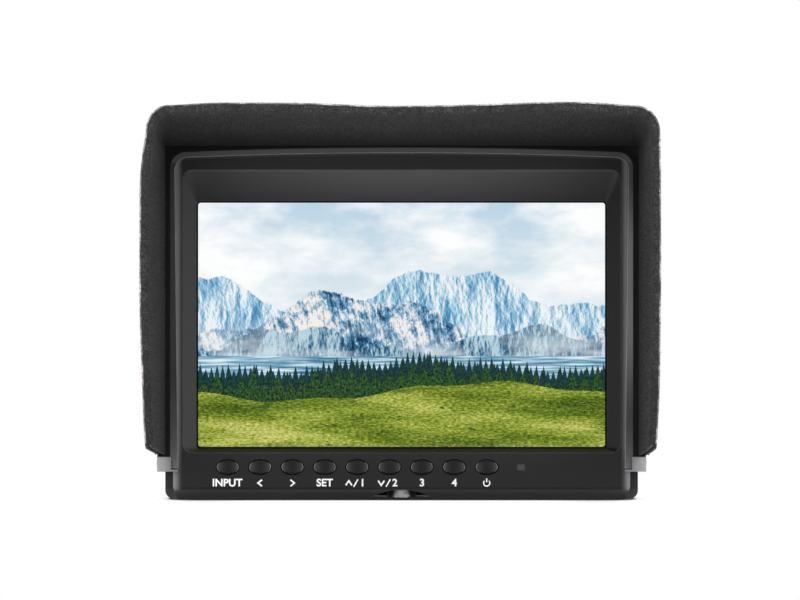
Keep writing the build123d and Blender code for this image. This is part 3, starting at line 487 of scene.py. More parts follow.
def housing_plastic():
    """The housing's satin plastic, with a painted highlight along the edge of the raised front."""
    material = moulded_plastic("housing_plastic", "161617", "1a1a1b", 0.45)
    tree, shader, place = reopened(material)
    across, up, back = front_axes(tree, place, FRONT_TOP)
    away = edge_distance(tree, across, up, FRONT_HALF, FRONT_TOP / 2, FRONT_CORNER)
    # Painted highlight on the rounded edge of the raised front.
    front_edge_highlight = add(tree, "MapRange", away, -3.2 * MM, -0.4 * MM, 0, 1)
    front = add(tree, "MapRange", back, FACE_Y + 2.5 * MM, FACE_Y + 1.5 * MM, 0, 1)
    front_edge_highlight = add(tree, "Math.MULTIPLY", add(tree, "Math.POWER", front_edge_highlight, 1.6), front)
    axes = add(tree, "SeparateXYZ", place).outputs
    plain = fed(shader, "Base Color")
    # Painted shade: the strip with the keys is darker than the face above it.
    key_strip_shade = add(tree, "MapRange", axes["Z"], 22 * MM, 12 * MM, 0, 1)
    key_strip_shade = add(tree, "Math.MULTIPLY", key_strip_shade, front)
    plain = add(tree, "Mix", key_strip_shade, plain, "0c0c0d", data_type="RGBA")
    colour = add(tree, "Mix", front_edge_highlight, plain, "6c6c6e", data_type="RGBA")
    # Painted highlight is strongest on its two sides, beside the hood's lips.
    side = add(tree, "Math.ABSOLUTE", across)
    side = add(tree, "MapRange", side, SLOPE_HALF, FRONT_HALF - 0.4 * MM, 0, 1)
    side = add(tree, "Math.MULTIPLY", add(tree, "Math.POWER", side, 1.3), front)
    higher = add(tree, "MapRange", axes["Z"], 10 * MM, 20 * MM, 0.3, 1)
    side = add(tree, "Math.MULTIPLY", side, higher)
    colour = add(tree, "Mix", side, colour, "8c8c8e", data_type="RGBA")
    face = add(tree, "MapRange", axes["Y"], FACE_Y + 4.6 * MM, FACE_Y + 4.2 * MM, 0, 1)
    colour = shade_slopes(tree, axes, face, colour)
    # Painted light on the slope along the lower front edge, which faces the floor.
    bevel = add(tree, "MapRange", axes["Z"], FOOT_BEVEL + 0.5 * MM, FOOT_BEVEL - 0.6 * MM, 0, 1)
    end = FACE_Y + FOOT_BEVEL_DEPTH
    before = add(tree, "MapRange", axes["Y"], end + 0.2 * MM, end, 0, 1)
    bevel = add(tree, "Math.MULTIPLY", bevel, before)
    colour = add(tree, "Mix", bevel, colour, "343435", data_type="RGBA")
    colour = painted_edge_highlight(tree, colour, "5e5e60", 0.4 * MM)
    # Painted shade in the narrow gap round each key.
    distance = key_axes(tree, axes, HOLE_HALF)[2]
    ends = (KEY_FIRST.x - KEY_PITCH / 2, KEY_FIRST.x + (len(KEYS) - 0.5) * KEY_PITCH)
    half = (ends[1] - ends[0]) / 2
    beside = add(tree, "Math.ABSOLUTE", add(tree, "Math.SUBTRACT", axes["X"], sum(ends) / 2))
    beside = add(tree, "MapRange", beside, half, half + 0.1 * MM, 1, 0)
    beside = add(tree, "Math.MULTIPLY", beside, front)
    gap = add(tree, "Math.MULTIPLY", add(tree, "MapRange", distance, 1.05, 1.01, 0, 1), beside)
    feed(shader, {
        "Base Color": add(tree, "Mix", gap, colour, "050505", data_type="RGBA"),
        "Roughness": add(tree, "Mix", gap, fed(shader, "Roughness"), 1.0),
        "Specular IOR Level": 0.2,
    })
    return material


def felt_cloth():
    """Flocked felt: short matted fibres with soft lighter tufts and no gloss at all."""
    material, tree, shader, _ = new_material("flocked_felt")
    cloth = add(tree, "TexCoord").outputs["UV"]
    # Single fibres are 0.02 mm thick, so their tufts are drawn at 0.6 mm. The cloth's own map
    # is in metres, pulled together along the nap, which is brushed towards the front.
    tuft = grain(tree, cloth, 0.62 * MM, 3, 0.55)
    clump = grain(tree, cloth, 2.4 * MM, 3, 0.6)
    patch = grain(tree, cloth, 12 * MM, 2, 0.5)
    mix = add(tree, "Math.MULTIPLY_ADD", tuft, 0.62, add(tree, "Math.MULTIPLY", clump, 0.26))
    mix = add(tree, "Math.MULTIPLY_ADD", patch, 0.12, mix)
    colour = add(
        tree, "ValToRGB", mix, stops=((0.38, "1a1a1b"), (0.52, "2c2c2d"), (0.66, "4c4c4e"))
    )
    # Painted shade: the felt darkens towards the fold, deep in the hood.
    depth = add(tree, "SeparateXYZ", cloth).outputs["X"]
    depth = add(tree, "Math.MULTIPLY", depth, NAP_STRETCH)
    fold_shade = add(tree, "Math.POWER", add(tree, "MapRange", depth, 8 * MM, 48 * MM, 1, 0), 1.4)
    colour = add(tree, "Mix", fold_shade, colour, "030303", data_type="RGBA")
    feed(shader, {
        "Base Color": colour, "Roughness": 0.97, "Specular IOR Level": 0.12, "Sheen Weight": 0.1,
        "Sheen Roughness": 0.55, "Sheen Tint": "b4b3b4",
    })
    bump(tree, shader, mix, 0.4 * MM, 0.8)
    return material


def loose_fibre(name, dark, light):
    """Loose fibres of the nap, each tuft a little lighter or darker than the next."""
    stops = ((0.36, dark), (0.64, light))
    return spotted(name, (1.1 * MM, 3, 0.7), stops, 0.9, inputs={"Specular IOR Level": 0.15})


def woven_nylon():
    """Plain-woven nylon cloth, black, with a low sheen on the crowns of its threads."""
    material, tree, shader, place = new_material("woven_nylon")
    threads = add(tree, "TexCoord").outputs["UV"]
    # The threads of the real cloth are 0.35 mm apart; drawn 0.8 mm apart to show.
    spacing = 0.8 * MM
    scale = 2 * math.pi / (20 * spacing)
    settings = {"Vector": threads, "Scale": scale, "Distortion": 0.4, "Detail": 1.0}
    settings["Detail Scale"] = 2.0
    warp = add(tree, "TexWave", settings, bands_direction="X").outputs["Fac"]
    weft = add(tree, "TexWave", settings, bands_direction="Y").outputs["Fac"]
    cell = add(tree, "TexChecker", {"Vector": threads, "Scale": 1 / spacing}).outputs["Fac"]
    weave = add(tree, "Mix", cell, warp, weft)
    shade = grain(tree, place, 9 * MM, 3)
    level = add(tree, "Math.MULTIPLY_ADD", weave, 0.6, add(tree, "Math.MULTIPLY", shade, 0.5))
    feed(shader, {
        "Base Color": add(tree, "ValToRGB", level, stops=((0.2, "101011"), (0.85, "2c2c2e"))),
        "Roughness": add(tree, "MapRange", weave, 0, 1, 0.78, 0.52), "Specular IOR Level": 0.3,
        "Sheen Weight": 0.08, "Sheen Roughness": 0.4,
    })
    bump(tree, shader, weave, 0.12 * MM, 0.8)
    return material


def cut_edge():
    """Raw edge of the laminate, where the pale backing fibres of the felt show."""
    material, tree, shader, place = new_material("cut_felt_edge")
    fibre = grain(tree, place, 0.9 * MM, 4, 0.7)
    patch = grain(tree, place, 7 * MM, 2, 0.5)
    level = add(tree, "Math.MULTIPLY_ADD", fibre, 0.5, add(tree, "Math.MULTIPLY", patch, 0.5))
    feed(shader, {
        "Base Color": add(
            tree, "ValToRGB", level, stops=((0.4, "2e2d2d"), (0.5, "6f6967"), (0.6, "b9b0ae"))
        ),
        "Roughness": 0.95, "Sheen Weight": 0.3,
    })
    bump(tree, shader, fibre, 0.3 * MM, 0.8)
    return material


def stiff_board():
    """Die-cut polypropylene sheet, black and slightly scuffed."""
    scuffs = (1.5 * MM, 4, 0.7, (1, 1, 6))
    stops = ((0.3, "151516"), (0.75, "232324"))
    relief = (0.03 * MM, 0.5)
    return spotted("polypropylene_sheet", scuffs, stops, (0.45, 0.62), relief, {"IOR": 1.49})


def key_plastic():
    """Polished black cap: smooth moulding with a faint orange-peel skin."""
    material, tree, shader, place = new_material("polished_key_plastic")
    peel = grain(tree, place, 0.9 * MM, 1)
    smudge = grain(tree, place, 4 * MM, 3)
    black = add(tree, "ValToRGB", smudge, stops=((0.3, "121213"), (0.7, "161617")))
    # Each cap has a painted highlight towards its two ends and painted shade, black, on its
    # upper and lower edge.
    axes = add(tree, "SeparateXYZ", place).outputs
    across, up, distance = key_axes(tree, axes, KEY_HALF)
    end = add(tree, "Math.POWER", add(tree, "Math.ABSOLUTE", across), 2.2)
    end = add(tree, "Math.MINIMUM", end, 1.0)
    black = add(tree, "Mix", end, black, "444446", data_type="RGBA")
    black = painted_edge_highlight(tree, black, "b4b4b6", 0.35 * MM, sideways=True)
    upper = add(tree, "MapRange", add(tree, "Math.ABSOLUTE", up), 0.5, 0.75, 0, 1)
    rim = add(tree, "Math.MULTIPLY", add(tree, "MapRange", distance, 0.8, 0.93, 0, 1), upper)
    rim = add(tree, "Math.MAXIMUM", rim, add(tree, "MapRange", distance, 1.0, 1.02, 0, 1))
    feed(shader, {
        "Base Color": add(tree, "Mix", rim, black, "030303", data_type="RGBA"),
        "Roughness": add(tree, "MapRange", smudge, 0.3, 0.7, 0.2, 0.27), "IOR": 1.53,
        "Specular IOR Level": 0.14,
    })
    bump(tree, shader, peel, 0.01 * MM, 0.4, 0.22 * MM)
    return material


def print_ink():
    """White pad-printed ink, slightly matt, thinner towards its edges."""
    stops = ((0.25, "e4e6e6"), (0.7, "fbfbfa"))
    return spotted("white_pad_print", (0.3 * MM, 2), stops, 0.6, (0.01 * MM, 0.4))


def smoked_acrylic():
    """Smoked acrylic light window, black at its rim and grey where the light shines through."""
    material, tree, shader, place = new_material("smoked_acrylic")
    low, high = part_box("led_window")
    middle = (low + high) / 2
    axes = add(tree, "SeparateXYZ", place).outputs
    across = add(tree, "Math.SUBTRACT", axes["X"], middle.x)
    up = add(tree, "Math.SUBTRACT", axes["Z"], middle.z)
    away = edge_distance(tree, across, up, 0.95 * MM, 0.6 * MM, 0.3 * MM)
    cloud = grain(tree, place, 1.2 * MM, 2)
    grey = add(tree, "ValToRGB", cloud, stops=((0.3, "1a1a1c"), (0.7, "28282a")))
    rim = add(tree, "MapRange", away, 0, 0.35 * MM, 0, 1)
    grey = add(tree, "Mix", rim, grey, "050505", data_type="RGBA")
    feed(shader, {"Base Color": grey, "Roughness": 0.3, "IOR": 1.49})
    bump(tree, shader, cloud, 0.01 * MM, 0.3)
    return material


def metal(name, dark, light, roughness, brush=(1, 1, 1)):
    """Metal with fine working marks, drawn out along the axis whose stretch is smallest."""
    marks = (0.4 * MM, 4, 0.65, brush)
    stops = ((0.3, dark), (0.7, light))
    ends = (roughness - 0.06, roughness + 0.08)
    return spotted(name, marks, stops, ends, (0.01 * MM, 0.5), {"Metallic": 1.0})


def anodised_clip():
    """Pressed aluminium clip with a bead-blasted, clear anodised face."""
    material, tree, shader, place = new_material("anodised_aluminium")
    blast = grain(tree, place, 0.35 * MM, 3, 0.6)
    cloud = grain(tree, place, 3 * MM, 2)
    plate = add(tree, "ValToRGB", cloud, stops=((0.3, "8c8c8e"), (0.7, "9f9fa0")))
    # Painted shade: a little darker towards the frame, where the lip beside it shades the clip.
    across = add(tree, "Math.ABSOLUTE", add(tree, "SeparateXYZ", place).outputs["X"])
    away = add(tree, "MapRange", across, LIP_HALF, LIP_HALF + 6 * MM, 0, 1)
    plate = add(tree, "Mix", away, "67676a", plate, data_type="RGBA")
    feed(shader, {
        "Base Color": plate, "Metallic": 0.4,
        "Roughness": add(tree, "MapRange", blast, 0.3, 0.7, 0.36, 0.5),
    })
    bump(tree, shader, blast, 0.02 * MM, 0.5, 0.15 * MM)
    return material


def circuit_board():
    """Glass-epoxy board under green solder mask, with raised copper tracks."""
    material, tree, shader, place = new_material("circuit_board")
    tracks = add(
        tree, "TexVoronoi", {"Vector": place, "Scale": 1 / (2.4 * MM)},
        feature="DISTANCE_TO_EDGE", distance="CHEBYCHEV"
    )
    line = add(tree, "MapRange", tracks, 0.06, 0.1, 1, 0)
    weave = grain(tree, place, 0.6 * MM, 2, 0.5, (1, 1, 3))
    base = add(tree, "ValToRGB", weave, stops=((0.3, "0c3320"), (0.7, "124229")))
    feed(shader, {
        "Base Color": add(tree, "Mix", line, base, "1d6a3f", data_type="RGBA"), "Roughness": 0.32,
    })
    bump(tree, shader, line, 0.035 * MM, 0.8)
    return material


def flat_cable():
    """Amber polyimide ribbon with copper conductors showing through as stripes."""
    material, tree, shader, place = new_material("polyimide_ribbon")
    pitch = 0.5 * MM
    stripes = add(
        tree, "TexWave", {"Vector": place, "Scale": 2 * math.pi / (20 * pitch)},
        bands_direction="X"
    ).outputs["Fac"]
    feed(shader, {
        "Base Color": add(tree, "ValToRGB", stripes, stops=((0.35, "6b3f12"), (0.65, "c07a2c"))),
        "Roughness": 0.3,
    })
    bump(tree, shader, stripes, 0.02 * MM, 0.6)
    return material


def foam():
    """Closed-cell foam gasket, black, with open pores on its cut faces."""
    material, tree, shader, place = new_material("foam_gasket")
    cells = add(tree, "TexVoronoi", {"Vector": place, "Scale": 1 / (0.5 * MM)})
    feed(shader, {
        "Base Color": add(tree, "ValToRGB", cells, stops=((0.1, "0a0a0a"), (0.7, "202021"))),
        "Roughness": 0.92,
    })
    bump(tree, shader, cells, 0.1 * MM, 0.8)
    return material


def speaker_paper():
    """Pressed paper cone, charcoal, with short fibres."""
    stops = ((0.3, "161616"), (0.7, "2c2b2a"))
    return spotted("speaker_paper", (0.8 * MM, 4, 0.7), stops, 0.85, (0.08 * MM, 0.7))


def ridge_line(tree, across, base, *waves):
    """Height of a row of hills: waves of (height, width, shift), all in metres."""
    height = base
    for amount, width, shift in waves:
        turned = add(tree, "Math.MULTIPLY_ADD", across, 2 * math.pi / width, shift)
        height = add(tree, "Math.MULTIPLY_ADD", add(tree, "Math.SINE", turned), amount, height)
    return height


def above(tree, up, line, softness):
    """1 below a line, 0 above it, with a soft edge."""
    return add(tree, "MapRange", add(tree, "Math.SUBTRACT", up, line), -softness, softness, 1, 0)


def crags(tree, flat, size, lean, reach):
    """Light and shade on rough rock whose ribs lean sideways: noise less itself a step away."""
    settings = {"Vector": flat, "Rotation": (0, 0, lean), "Scale": (1.25, 0.5, 1)}
    here = add(tree, "Mapping", settings)
    step = (reach, 0.5 * reach, 0)
    there = add(tree, "VectorMath.ADD", here, step)
    return add(
        tree, "Math.SUBTRACT", *(grain(tree, place, size, 9, 0.64) for place in (here, there))
    )


def fir_tops(tree, across, ground, rough, spacing, low, high, shift):
    """Height of a row of pointed trees of random height, one to each spacing."""
    place = add(tree, "Math.DIVIDE", add(tree, "Math.ADD", across, shift), spacing)
    count = add(tree, "Math.FLOOR", place)
    chance = add(tree, "TexWhiteNoise", {"W": count}, noise_dimensions="1D")
    from_trunk = add(tree, "Math.SUBTRACT", add(tree, "Math.SUBTRACT", place, count), 0.5)
    from_trunk = add(tree, "Math.ABSOLUTE", from_trunk)
    height = add(tree, "MapRange", chance, 0, 1, low, high)
    tent = add(tree, "Math.MULTIPLY_ADD", from_trunk, -1.7, 1)
    tent = add(tree, "Math.MULTIPLY_ADD", rough, 0.35, add(tree, "Math.SUBTRACT", tent, 0.17))
    return add(tree, "Math.MULTIPLY_ADD", height, tent, add(tree, "Math.ADD", ground, shift))


def lit_picture(low, high):
    """Matt screen glass over a lit test picture of hills, a lake and a meadow.

    low and high are the corners of the lit area; round it the glass is black."""
    material, tree, shader, place = new_material("screen_glass")
    axes = add(tree, "SeparateXYZ", place).outputs
    x = add(tree, "Math.SUBTRACT", axes["X"], (low.x + high.x) / 2)
    z = add(tree, "Math.SUBTRACT", axes["Z"], low.z)
    flat = add(tree, "CombineXYZ", {"X": x, "Y": z, "Z": 0.0})

    # Sky with bands of bright cloud.
    cloud = grain(tree, flat, 34 * MM, 6, 0.58, (0.62, 1.25, 1))
    height = add(tree, "MapRange", z, 48 * MM, 92 * MM, 0, 1)
    sky = add(tree, "ValToRGB", height, stops=((0.0, "dfe9ee"), (1.0, "b9d3e4")))
    cloud = add(tree, "MapRange", cloud, 0.42, 0.6, 0, 1)
    picture = add(tree, "Mix", cloud, sky, "fcfdfd", data_type="RGBA")

    # Three rows of hills of ribbed rock, lit from the left, with pale scree on the sunny sides.
    rock = grain(tree, flat, 7 * MM, 10, 0.66, (1.2, 0.75, 1))
    sunny = grain(tree, flat, 19 * MM, 3, 0.5, (1.3, 0.7, 1))
    tone = add(tree, "Math.MULTIPLY_ADD", rock, 0.5, -0.3)
    tone = add(tree, "Math.MULTIPLY_ADD", sunny, 1.1, tone)
    rough = add(tree, "Math.MULTIPLY_ADD", rock, 6 * MM, -3 * MM)
    far = ridge_line(tree, x, 59 * MM, (7 * MM, 104 * MM, 0.5), (2.2 * MM, 33 * MM, 1.1))
    middle = ridge_line(tree, x, 48 * MM, (9 * MM, 132 * MM, 2.5), (2.6 * MM, 41 * MM, 0.2))
    near = ridge_line(tree, x, 40 * MM, (4.5 * MM, 88 * MM, 4.4), (1.6 * MM, 27 * MM, 2.0))
    rows = (
        (far, 0.9, 0.5, "3f86b3", "8fc0d9", "eef4f6"),
        (middle, 1.2, -0.6, "0f3a62", "5f9dc0", "f4eee9"),
        (near, 0.8, 0.8, "0c2a45", "2f6f94", "b4d0da"),
    )
    for line, wildness, lean, dark, mid, light in rows:
        edge = add(tree, "Math.MULTIPLY_ADD", rough, wildness, line)
        broad = crags(tree, flat, 8 * MM, lean, 0.9 * MM)
        narrow = crags(tree, flat, 2.6 * MM, 0.6 * lean, 0.3 * MM)
        lit = add(tree, "Math.MULTIPLY_ADD", narrow, 1.7, tone)
        lit = add(tree, "Math.MULTIPLY_ADD", broad, 2.6, lit)
        colour = add(tree, "ValToRGB", lit, stops=((0.18, dark), (0.42, mid), (0.68, light)))
        hill = above(tree, z, edge, 0.2 * MM)
        picture = add(tree, "Mix", hill, picture, colour, data_type="RGBA")

    # Mist lies where the hills meet the water.
    mist = grain(tree, flat, 20 * MM, 4, 0.55, (0.5, 1.6, 1))
    veil = add(tree, "MapRange", mist, 0.45, 0.62, 0, 0.7)
    veil = add(tree, "Math.MULTIPLY", veil, above(tree, z, 42 * MM, 6 * MM))
    picture = add(tree, "Mix", veil, picture, "dbe8ee", data_type="RGBA")

    # Lake with level glints.
    glint = grain(tree, flat, 3.2 * MM, 5, 0.6, (0.16, 3.4, 1))
    water = add(
        tree, "ValToRGB", glint, stops=((0.36, "2f6f93"), (0.5, "86b4c9"), (0.64, "e4eff3"))
    )
    lake = above(tree, z, 34 * MM, 0.12 * MM)
    picture = add(tree, "Mix", lake, picture, water, data_type="RGBA")

    # Three rows of firs along the shore, each nearer one taller and greener.
    leaf = grain(tree, flat, 0.8 * MM, 5, 0.75, (1, 0.7, 1))
    shore = ridge_line(tree, x, 24 * MM, (2.2 * MM, 118 * MM, 1.2), (0.8 * MM, 31 * MM, 0.0))
    firs = (
        (2.1 * MM, 3.5 * MM, 6.5 * MM, 3.0 * MM, "0e2f3a", "1d4b50"),
        (3.1 * MM, 4.0 * MM, 8.5 * MM, 1.0 * MM, "0a2426", "244c3a"),
        (4.6 * MM, 3.0 * MM, 9.5 * MM, -2.0 * MM, "0b1f14", "3d6a34"),
    )
    for spacing, low_top, high_top, shift, dark, light in firs:
        tops = fir_tops(tree, x, shore, leaf, spacing, low_top, high_top, shift)
        leaves = add(tree, "ValToRGB", leaf, stops=((0.42, dark), (0.62, light)))
        trees = above(tree, z, tops, 0.1 * MM)
        picture = add(tree, "Mix", trees, picture, leaves, data_type="RGBA")

    # Meadow with long soft swells of light and a few shrubs.
    grass = grain(tree, flat, 1.1 * MM, 6, 0.7, (0.7, 1.9, 1))
    swell = grain(tree, flat, 26 * MM, 4, 0.55, (0.45, 2.6, 1))
    lit = add(tree, "Math.MULTIPLY_ADD", grass, 0.5, add(tree, "Math.MULTIPLY", swell, 0.5))
    green = add(
        tree, "ValToRGB", lit,
        stops=((0.38, "263a10"), (0.46, "5f771d"), (0.53, "9ba93c"), (0.61, "dcd685"))
    )
    bank = ridge_line(tree, x, 20 * MM, (3.4 * MM, 150 * MM, 0.2), (0.7 * MM, 37 * MM, 1.0))
    bank = add(tree, "Math.MULTIPLY_ADD", grass, 1.2 * MM, bank)
    meadow = above(tree, z, bank, 0.15 * MM)
    picture = add(tree, "Mix", meadow, picture, green, data_type="RGBA")
    shrub = grain(tree, flat, 7 * MM, 5, 0.6, (0.6, 1.5, 1))
    shrub = add(tree, "MapRange", shrub, 0.63, 0.66, 0, 1)
    shrub = add(tree, "Math.MULTIPLY", shrub, above(tree, z, 17 * MM, MM))
    leaves = add(tree, "ValToRGB", leaf, stops=((0.4, "15280f"), (0.62, "4f6f24")))
    picture = add(tree, "Mix", shrub, picture, leaves, data_type="RGBA")

    # Nothing is lit beyond the picture's edge, whose corners are round.
    up = add(tree, "Math.SUBTRACT", z, PICTURE_HEIGHT / 2)
    away = edge_distance(tree, x, up, PICTURE_WIDTH / 2, PICTURE_HEIGHT / 2, PICTURE_CORNER)
    inside = add(tree, "MapRange", away, 0, 0.05 * MM, 1, 0)
    picture = add(tree, "Mix", inside, "000000", picture, data_type="RGBA")
    feed(shader, {"Emission Color": picture})
    # The lit picture is seen but throws no light on the slopes round it.
    ray = add(tree, "LightPath").outputs["Is Camera Ray"]
    feed(shader, {
        "Emission Strength": ray, "Base Color": "040405", "Roughness": 0.34,
        "Specular IOR Level": 0.04,
    })
    haze = grain(tree, place, 0.25 * MM, 1)
    bump(tree, shader, haze, 0.004 * MM, 0.3)
    return material


# ======================================================================================
# hood
# ======================================================================================

# Each class of panel has the rows and columns of its flat layers and of its lining, how its
# rows crowd towards the front, where the flat layers start, the column function (place of
# column j of columns, measured on the cloth) and the point function (depth in front of the
# hinge, place on the cloth, out from the felt's face).

class SidePanel:
    """Where the points of one side panel lie, from its hinge and the CAD box of its cover."""

    sheet_grid = (48, 48)
    lining_grid = (52, 72)
    crowding = 1.6
    root = 0.0

    def __init__(self, side, name, bow, tuck, head_tuck):
        joint = JOINTS[name + "_panel_fold"]
        low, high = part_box(name + "_cover")
        self.side = side
        self.name = name
        self.seed = 11 + side
        self.hinge = Vector(joint["pos_m"])
        self.lean = math.radians(90 - joint["range_deg"][1])
        self.root_foot = low.z
        self.head = high.z
        self.depth = (self.hinge.y - low.y - PANEL * math.sin(self.lean)) / math.cos(self.lean)
        self.bow = bow       # how far the middle of the front edge bows out
        self.tuck = tuck     # how far its foot is drawn in from there
        self.head_tuck = head_tuck

    def foot(self, depth, inset=0.0):
        """Height of the lower edge at a depth in front of the hinge."""
        level = self.root_foot + SIDE_FOOT_RISE * depth / self.depth + inset
        near = depth - (self.depth - inset - SIDE_FOOT_CORNER)
        if near > 0:
            near = min(near, SIDE_FOOT_CORNER)
            level += SIDE_FOOT_CORNER - math.sqrt(SIDE_FOOT_CORNER ** 2 - near ** 2)
        return level

    def stray(self, depth, height):
        """How far the soft panel stands outside its flat place."""
        share = max(depth / self.depth, 0) ** 1.6
        rise = (height - self.root_foot) / (self.head - self.root_foot)
        edge = self.bow - self.tuck * max(1 - rise, 0) ** 3.6
        edge -= self.head_tuck * smooth_step(0.82, 1.5, rise) / smooth_step(0.82, 1.5, 1)
        wave = noise.noise(Vector((depth, height, self.side)) * 32) * 0.35 * MM
        return share * (edge + wave)

    def column(self, depth, inset, j, columns):
        """Height of column j of columns, the first at the foot."""
        foot = self.foot(min(depth, self.depth - inset), inset)
        return foot + (self.head - inset - foot) * j / (columns - 1)

    def cut(self, depth):
        """Flat size and area of a cloth cut for the panel."""
        height = self.head - self.root_foot
        return (depth, height), depth * (height - SIDE_FOOT_RISE / 2)

    def brushed(self, face):
        """Whether this is an inner face that doesn't press on the frame of the folded hood."""
        place = face.calc_center_median()
        free = place.y < self.hinge.y - NAP_START and place.z < self.head - NAP_START
        return face.normal.x * -self.side > 0.5 and free

    def point(self, depth, height, out):
        out = out + self.stray(depth, height)
        x = self.hinge.x + self.side * (out * math.cos(self.lean) - depth * math.sin(self.lean))
        y = self.hinge.y - depth * math.cos(self.lean) - out * math.sin(self.lean)
        return Vector((x, y, height))


class TopPanel:
    """Where the points of the top panel lie."""

    name = "top"
    seed = 13
    sheet_grid = (44, 84)
    lining_grid = (46, 110)
    crowding = 1.4
    root = 0.0

    def __init__(self):
        joint = JOINTS["top_panel_fold"]
        low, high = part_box("top_cover")
        self.hinge = Vector(joint["pos_m"])
        self.rise = math.radians(joint["range_deg"][1] - 90)
        self.depth = (self.hinge.y - low.y) / math.cos(self.rise)
        self.root_half = high.x

    def half(self, depth, inset=0.0):
        """Half the panel's width at a depth in front of the hinge."""
        return self.root_half - inset - TOP_NARROWING * depth / self.depth

    def sag(self, across, depth):
        """The soft front edge dips in the middle and towards both corners."""
        share = max(depth / self.depth, 0) ** 1.6
        wave = -0.7 - 0.6 * math.cos(2 * math.pi * across / (118 * MM))
        corner = -1.0 * smooth_step(60 * MM, 86 * MM, abs(across))
        small = noise.noise(Vector((across, depth, 3)) * 30) * 0.4
        return share * (wave + corner + small) * MM

    def column(self, depth, inset, j, columns):
        """Place across of column j of columns, from the left."""
        return self.half(depth, inset) * (2 * j / (columns - 1) - 1)

    def cut(self, depth):
        """Flat size and area of a cloth cut for the panel."""
        width = 2 * self.root_half
        return (width, depth), depth * (width - TOP_NARROWING)

    def brushed(self, face):
        """Whether this is a lower face that doesn't press on the frame of the folded hood."""
        return face.normal.z < -0.5 and face.calc_center_median().y < self.hinge.y - NAP_START

    def point(self, depth, across, up):
        up = up + self.sag(across, depth)
        y = self.hinge.y - depth * math.cos(self.rise) + up * math.sin(self.rise)
        z = self.hinge.z + depth * math.sin(self.rise) + up * math.cos(self.rise)
        return Vector((across, y, z))


LEFT = SidePanel(-1, "left", 0.85 * MM, 2.4 * MM, 2.3 * MM)
RIGHT = SidePanel(1, "right", -0.3 * MM, 1.9 * MM, 0.35 * MM)
TOP = TopPanel()


class SoftCorner:
    """Where the points of the soft corner between a side panel and the top panel lie."""

    sheet_grid = (40, 20)
    lining_grid = (42, 24)
    crowding = 1.3
    root = ROOT_GAP

    def __init__(self, panel):
        self.panel = panel
        self.depth = TOP.depth

    def column(self, depth, inset, j, columns):
        """Place of column j of columns across the corner's cloth, from the top panel's side."""
        return GUSSET_WIDTH * j / (columns - 1)

    def point(self, depth, across, out):
        panel = self.panel
        edge = TOP.half(depth) - CORNER_OVERLAP
        start = TOP.point(depth, panel.side * edge, out)
        side_depth = (panel.hinge.y - start.y) / math.cos(panel.lean)
        end = panel.point(side_depth, panel.head - CORNER_OVERLAP, out)
        turn = math.pi / 2 * across / GUSSET_WIDTH
        full = CORNER_FULL * math.sin(2 * turn)
        return Vector((
            start.x + (end.x - start.x) * (math.sin(turn) + full),
            start.y,
            end.z + (start.z - end.z) * (math.cos(turn) + full),
        ))


def sheet_solid(name, rows, columns, inner, outer, chart, tinted=None):
    """Closed thin solid between two faces given as functions of (row, column).

    chart gives the UV place of a grid point in metres of cloth. Rows from tinted on take the
    second material."""
    shape = bmesh.new()
    cloth = shape.loops.layers.uv.new("cloth")
    near = [[shape.verts.new(inner(i, j)) for j in range(columns)] for i in range(rows)]
    far = [[shape.verts.new(outer(i, j)) for j in range(columns)] for i in range(rows)]
    tinted = rows if tinted is None else tinted

    def quad(corners, places):
        face = shape.faces.new(corners)
        face.material_index = int(min(i for i, j in places) >= tinted)
        for loop, place in zip(face.loops, places):
            loop[cloth].uv = chart(*place)

    for i in range(rows - 1):
        for j in range(columns - 1):
            around = [(i, j), (i + 1, j), (i + 1, j + 1), (i, j + 1)]
            quad([near[a][b] for a, b in around], around)
            quad([far[a][b] for a, b in reversed(around)], list(reversed(around)))
    rim = [(i, 0) for i in range(rows)]
    rim += [(rows - 1, j) for j in range(1, columns)]
    rim += [(i, columns - 1) for i in range(rows - 2, -1, -1)]
    rim += [(0, j) for j in range(columns - 2, 0, -1)]
    for a, b in zip(rim, rim[1:] + rim[:1]):
        corners = [near[a[0]][a[1]], near[b[0]][b[1]], far[b[0]][b[1]], far[a[0]][a[1]]]
        quad(corners, [a, b, b, a])
    return piece_from_bmesh(name, shape)


def soften(piece):
    """Rounds the rim of a soft sheet."""
    rounding = piece.modifiers.new("rim", "BEVEL")
    rounding.width = RIM_ROUND
    rounding.segments = 2
    rounding.limit_method = "ANGLE"
    rounding.angle_limit = math.radians(50)
    return bake_modifiers(piece)


def steps(count, low, high, crowding=1.0):
    """count places from low to high, closer together towards high where crowding is over 1."""
    return [low + (high - low) * (1 - (1 - i / (count - 1)) ** crowding) for i in range(count)]


def lining_path(depth, rows):
    """Section of a lining that turns over a panel's front edge: (depth, out, turn) places."""
    flat = [(d, 0.0, 0.0) for d in steps(rows, ROOT_GAP, depth - EDGE_ROUND, 1.5)]
    turns = [math.radians(90 * k / EDGE_STEPS) for k in range(1, EDGE_STEPS + 1)]
    bend = [
        (depth - EDGE_ROUND * (1 - math.sin(a)), EDGE_ROUND * (1 - math.cos(a)), a) for a in turns
    ]
    last = turns[-1]
    rise = [
        (depth, EDGE_ROUND + (PANEL - EDGE_ROUND) * k / RIM_STEPS, last)
        for k in range(1, RIM_STEPS + 1)
    ]
    return flat + bend + rise


def path_lengths(path):
    """How far along a section its places lie, in lengths of the brushed nap.

    On the flat the nap is brushed long, and over the front edge it stands up and is round."""
    along = [path[0][0] / NAP_STRETCH]
    for a, b in zip(path, path[1:]):
        stretch = NAP_STRETCH + (1 - NAP_STRETCH) * smooth_step(0, 0.5, b[2])
        along.append(along[-1] + math.hypot(b[0] - a[0], b[1] - a[1]) / stretch)
    return along


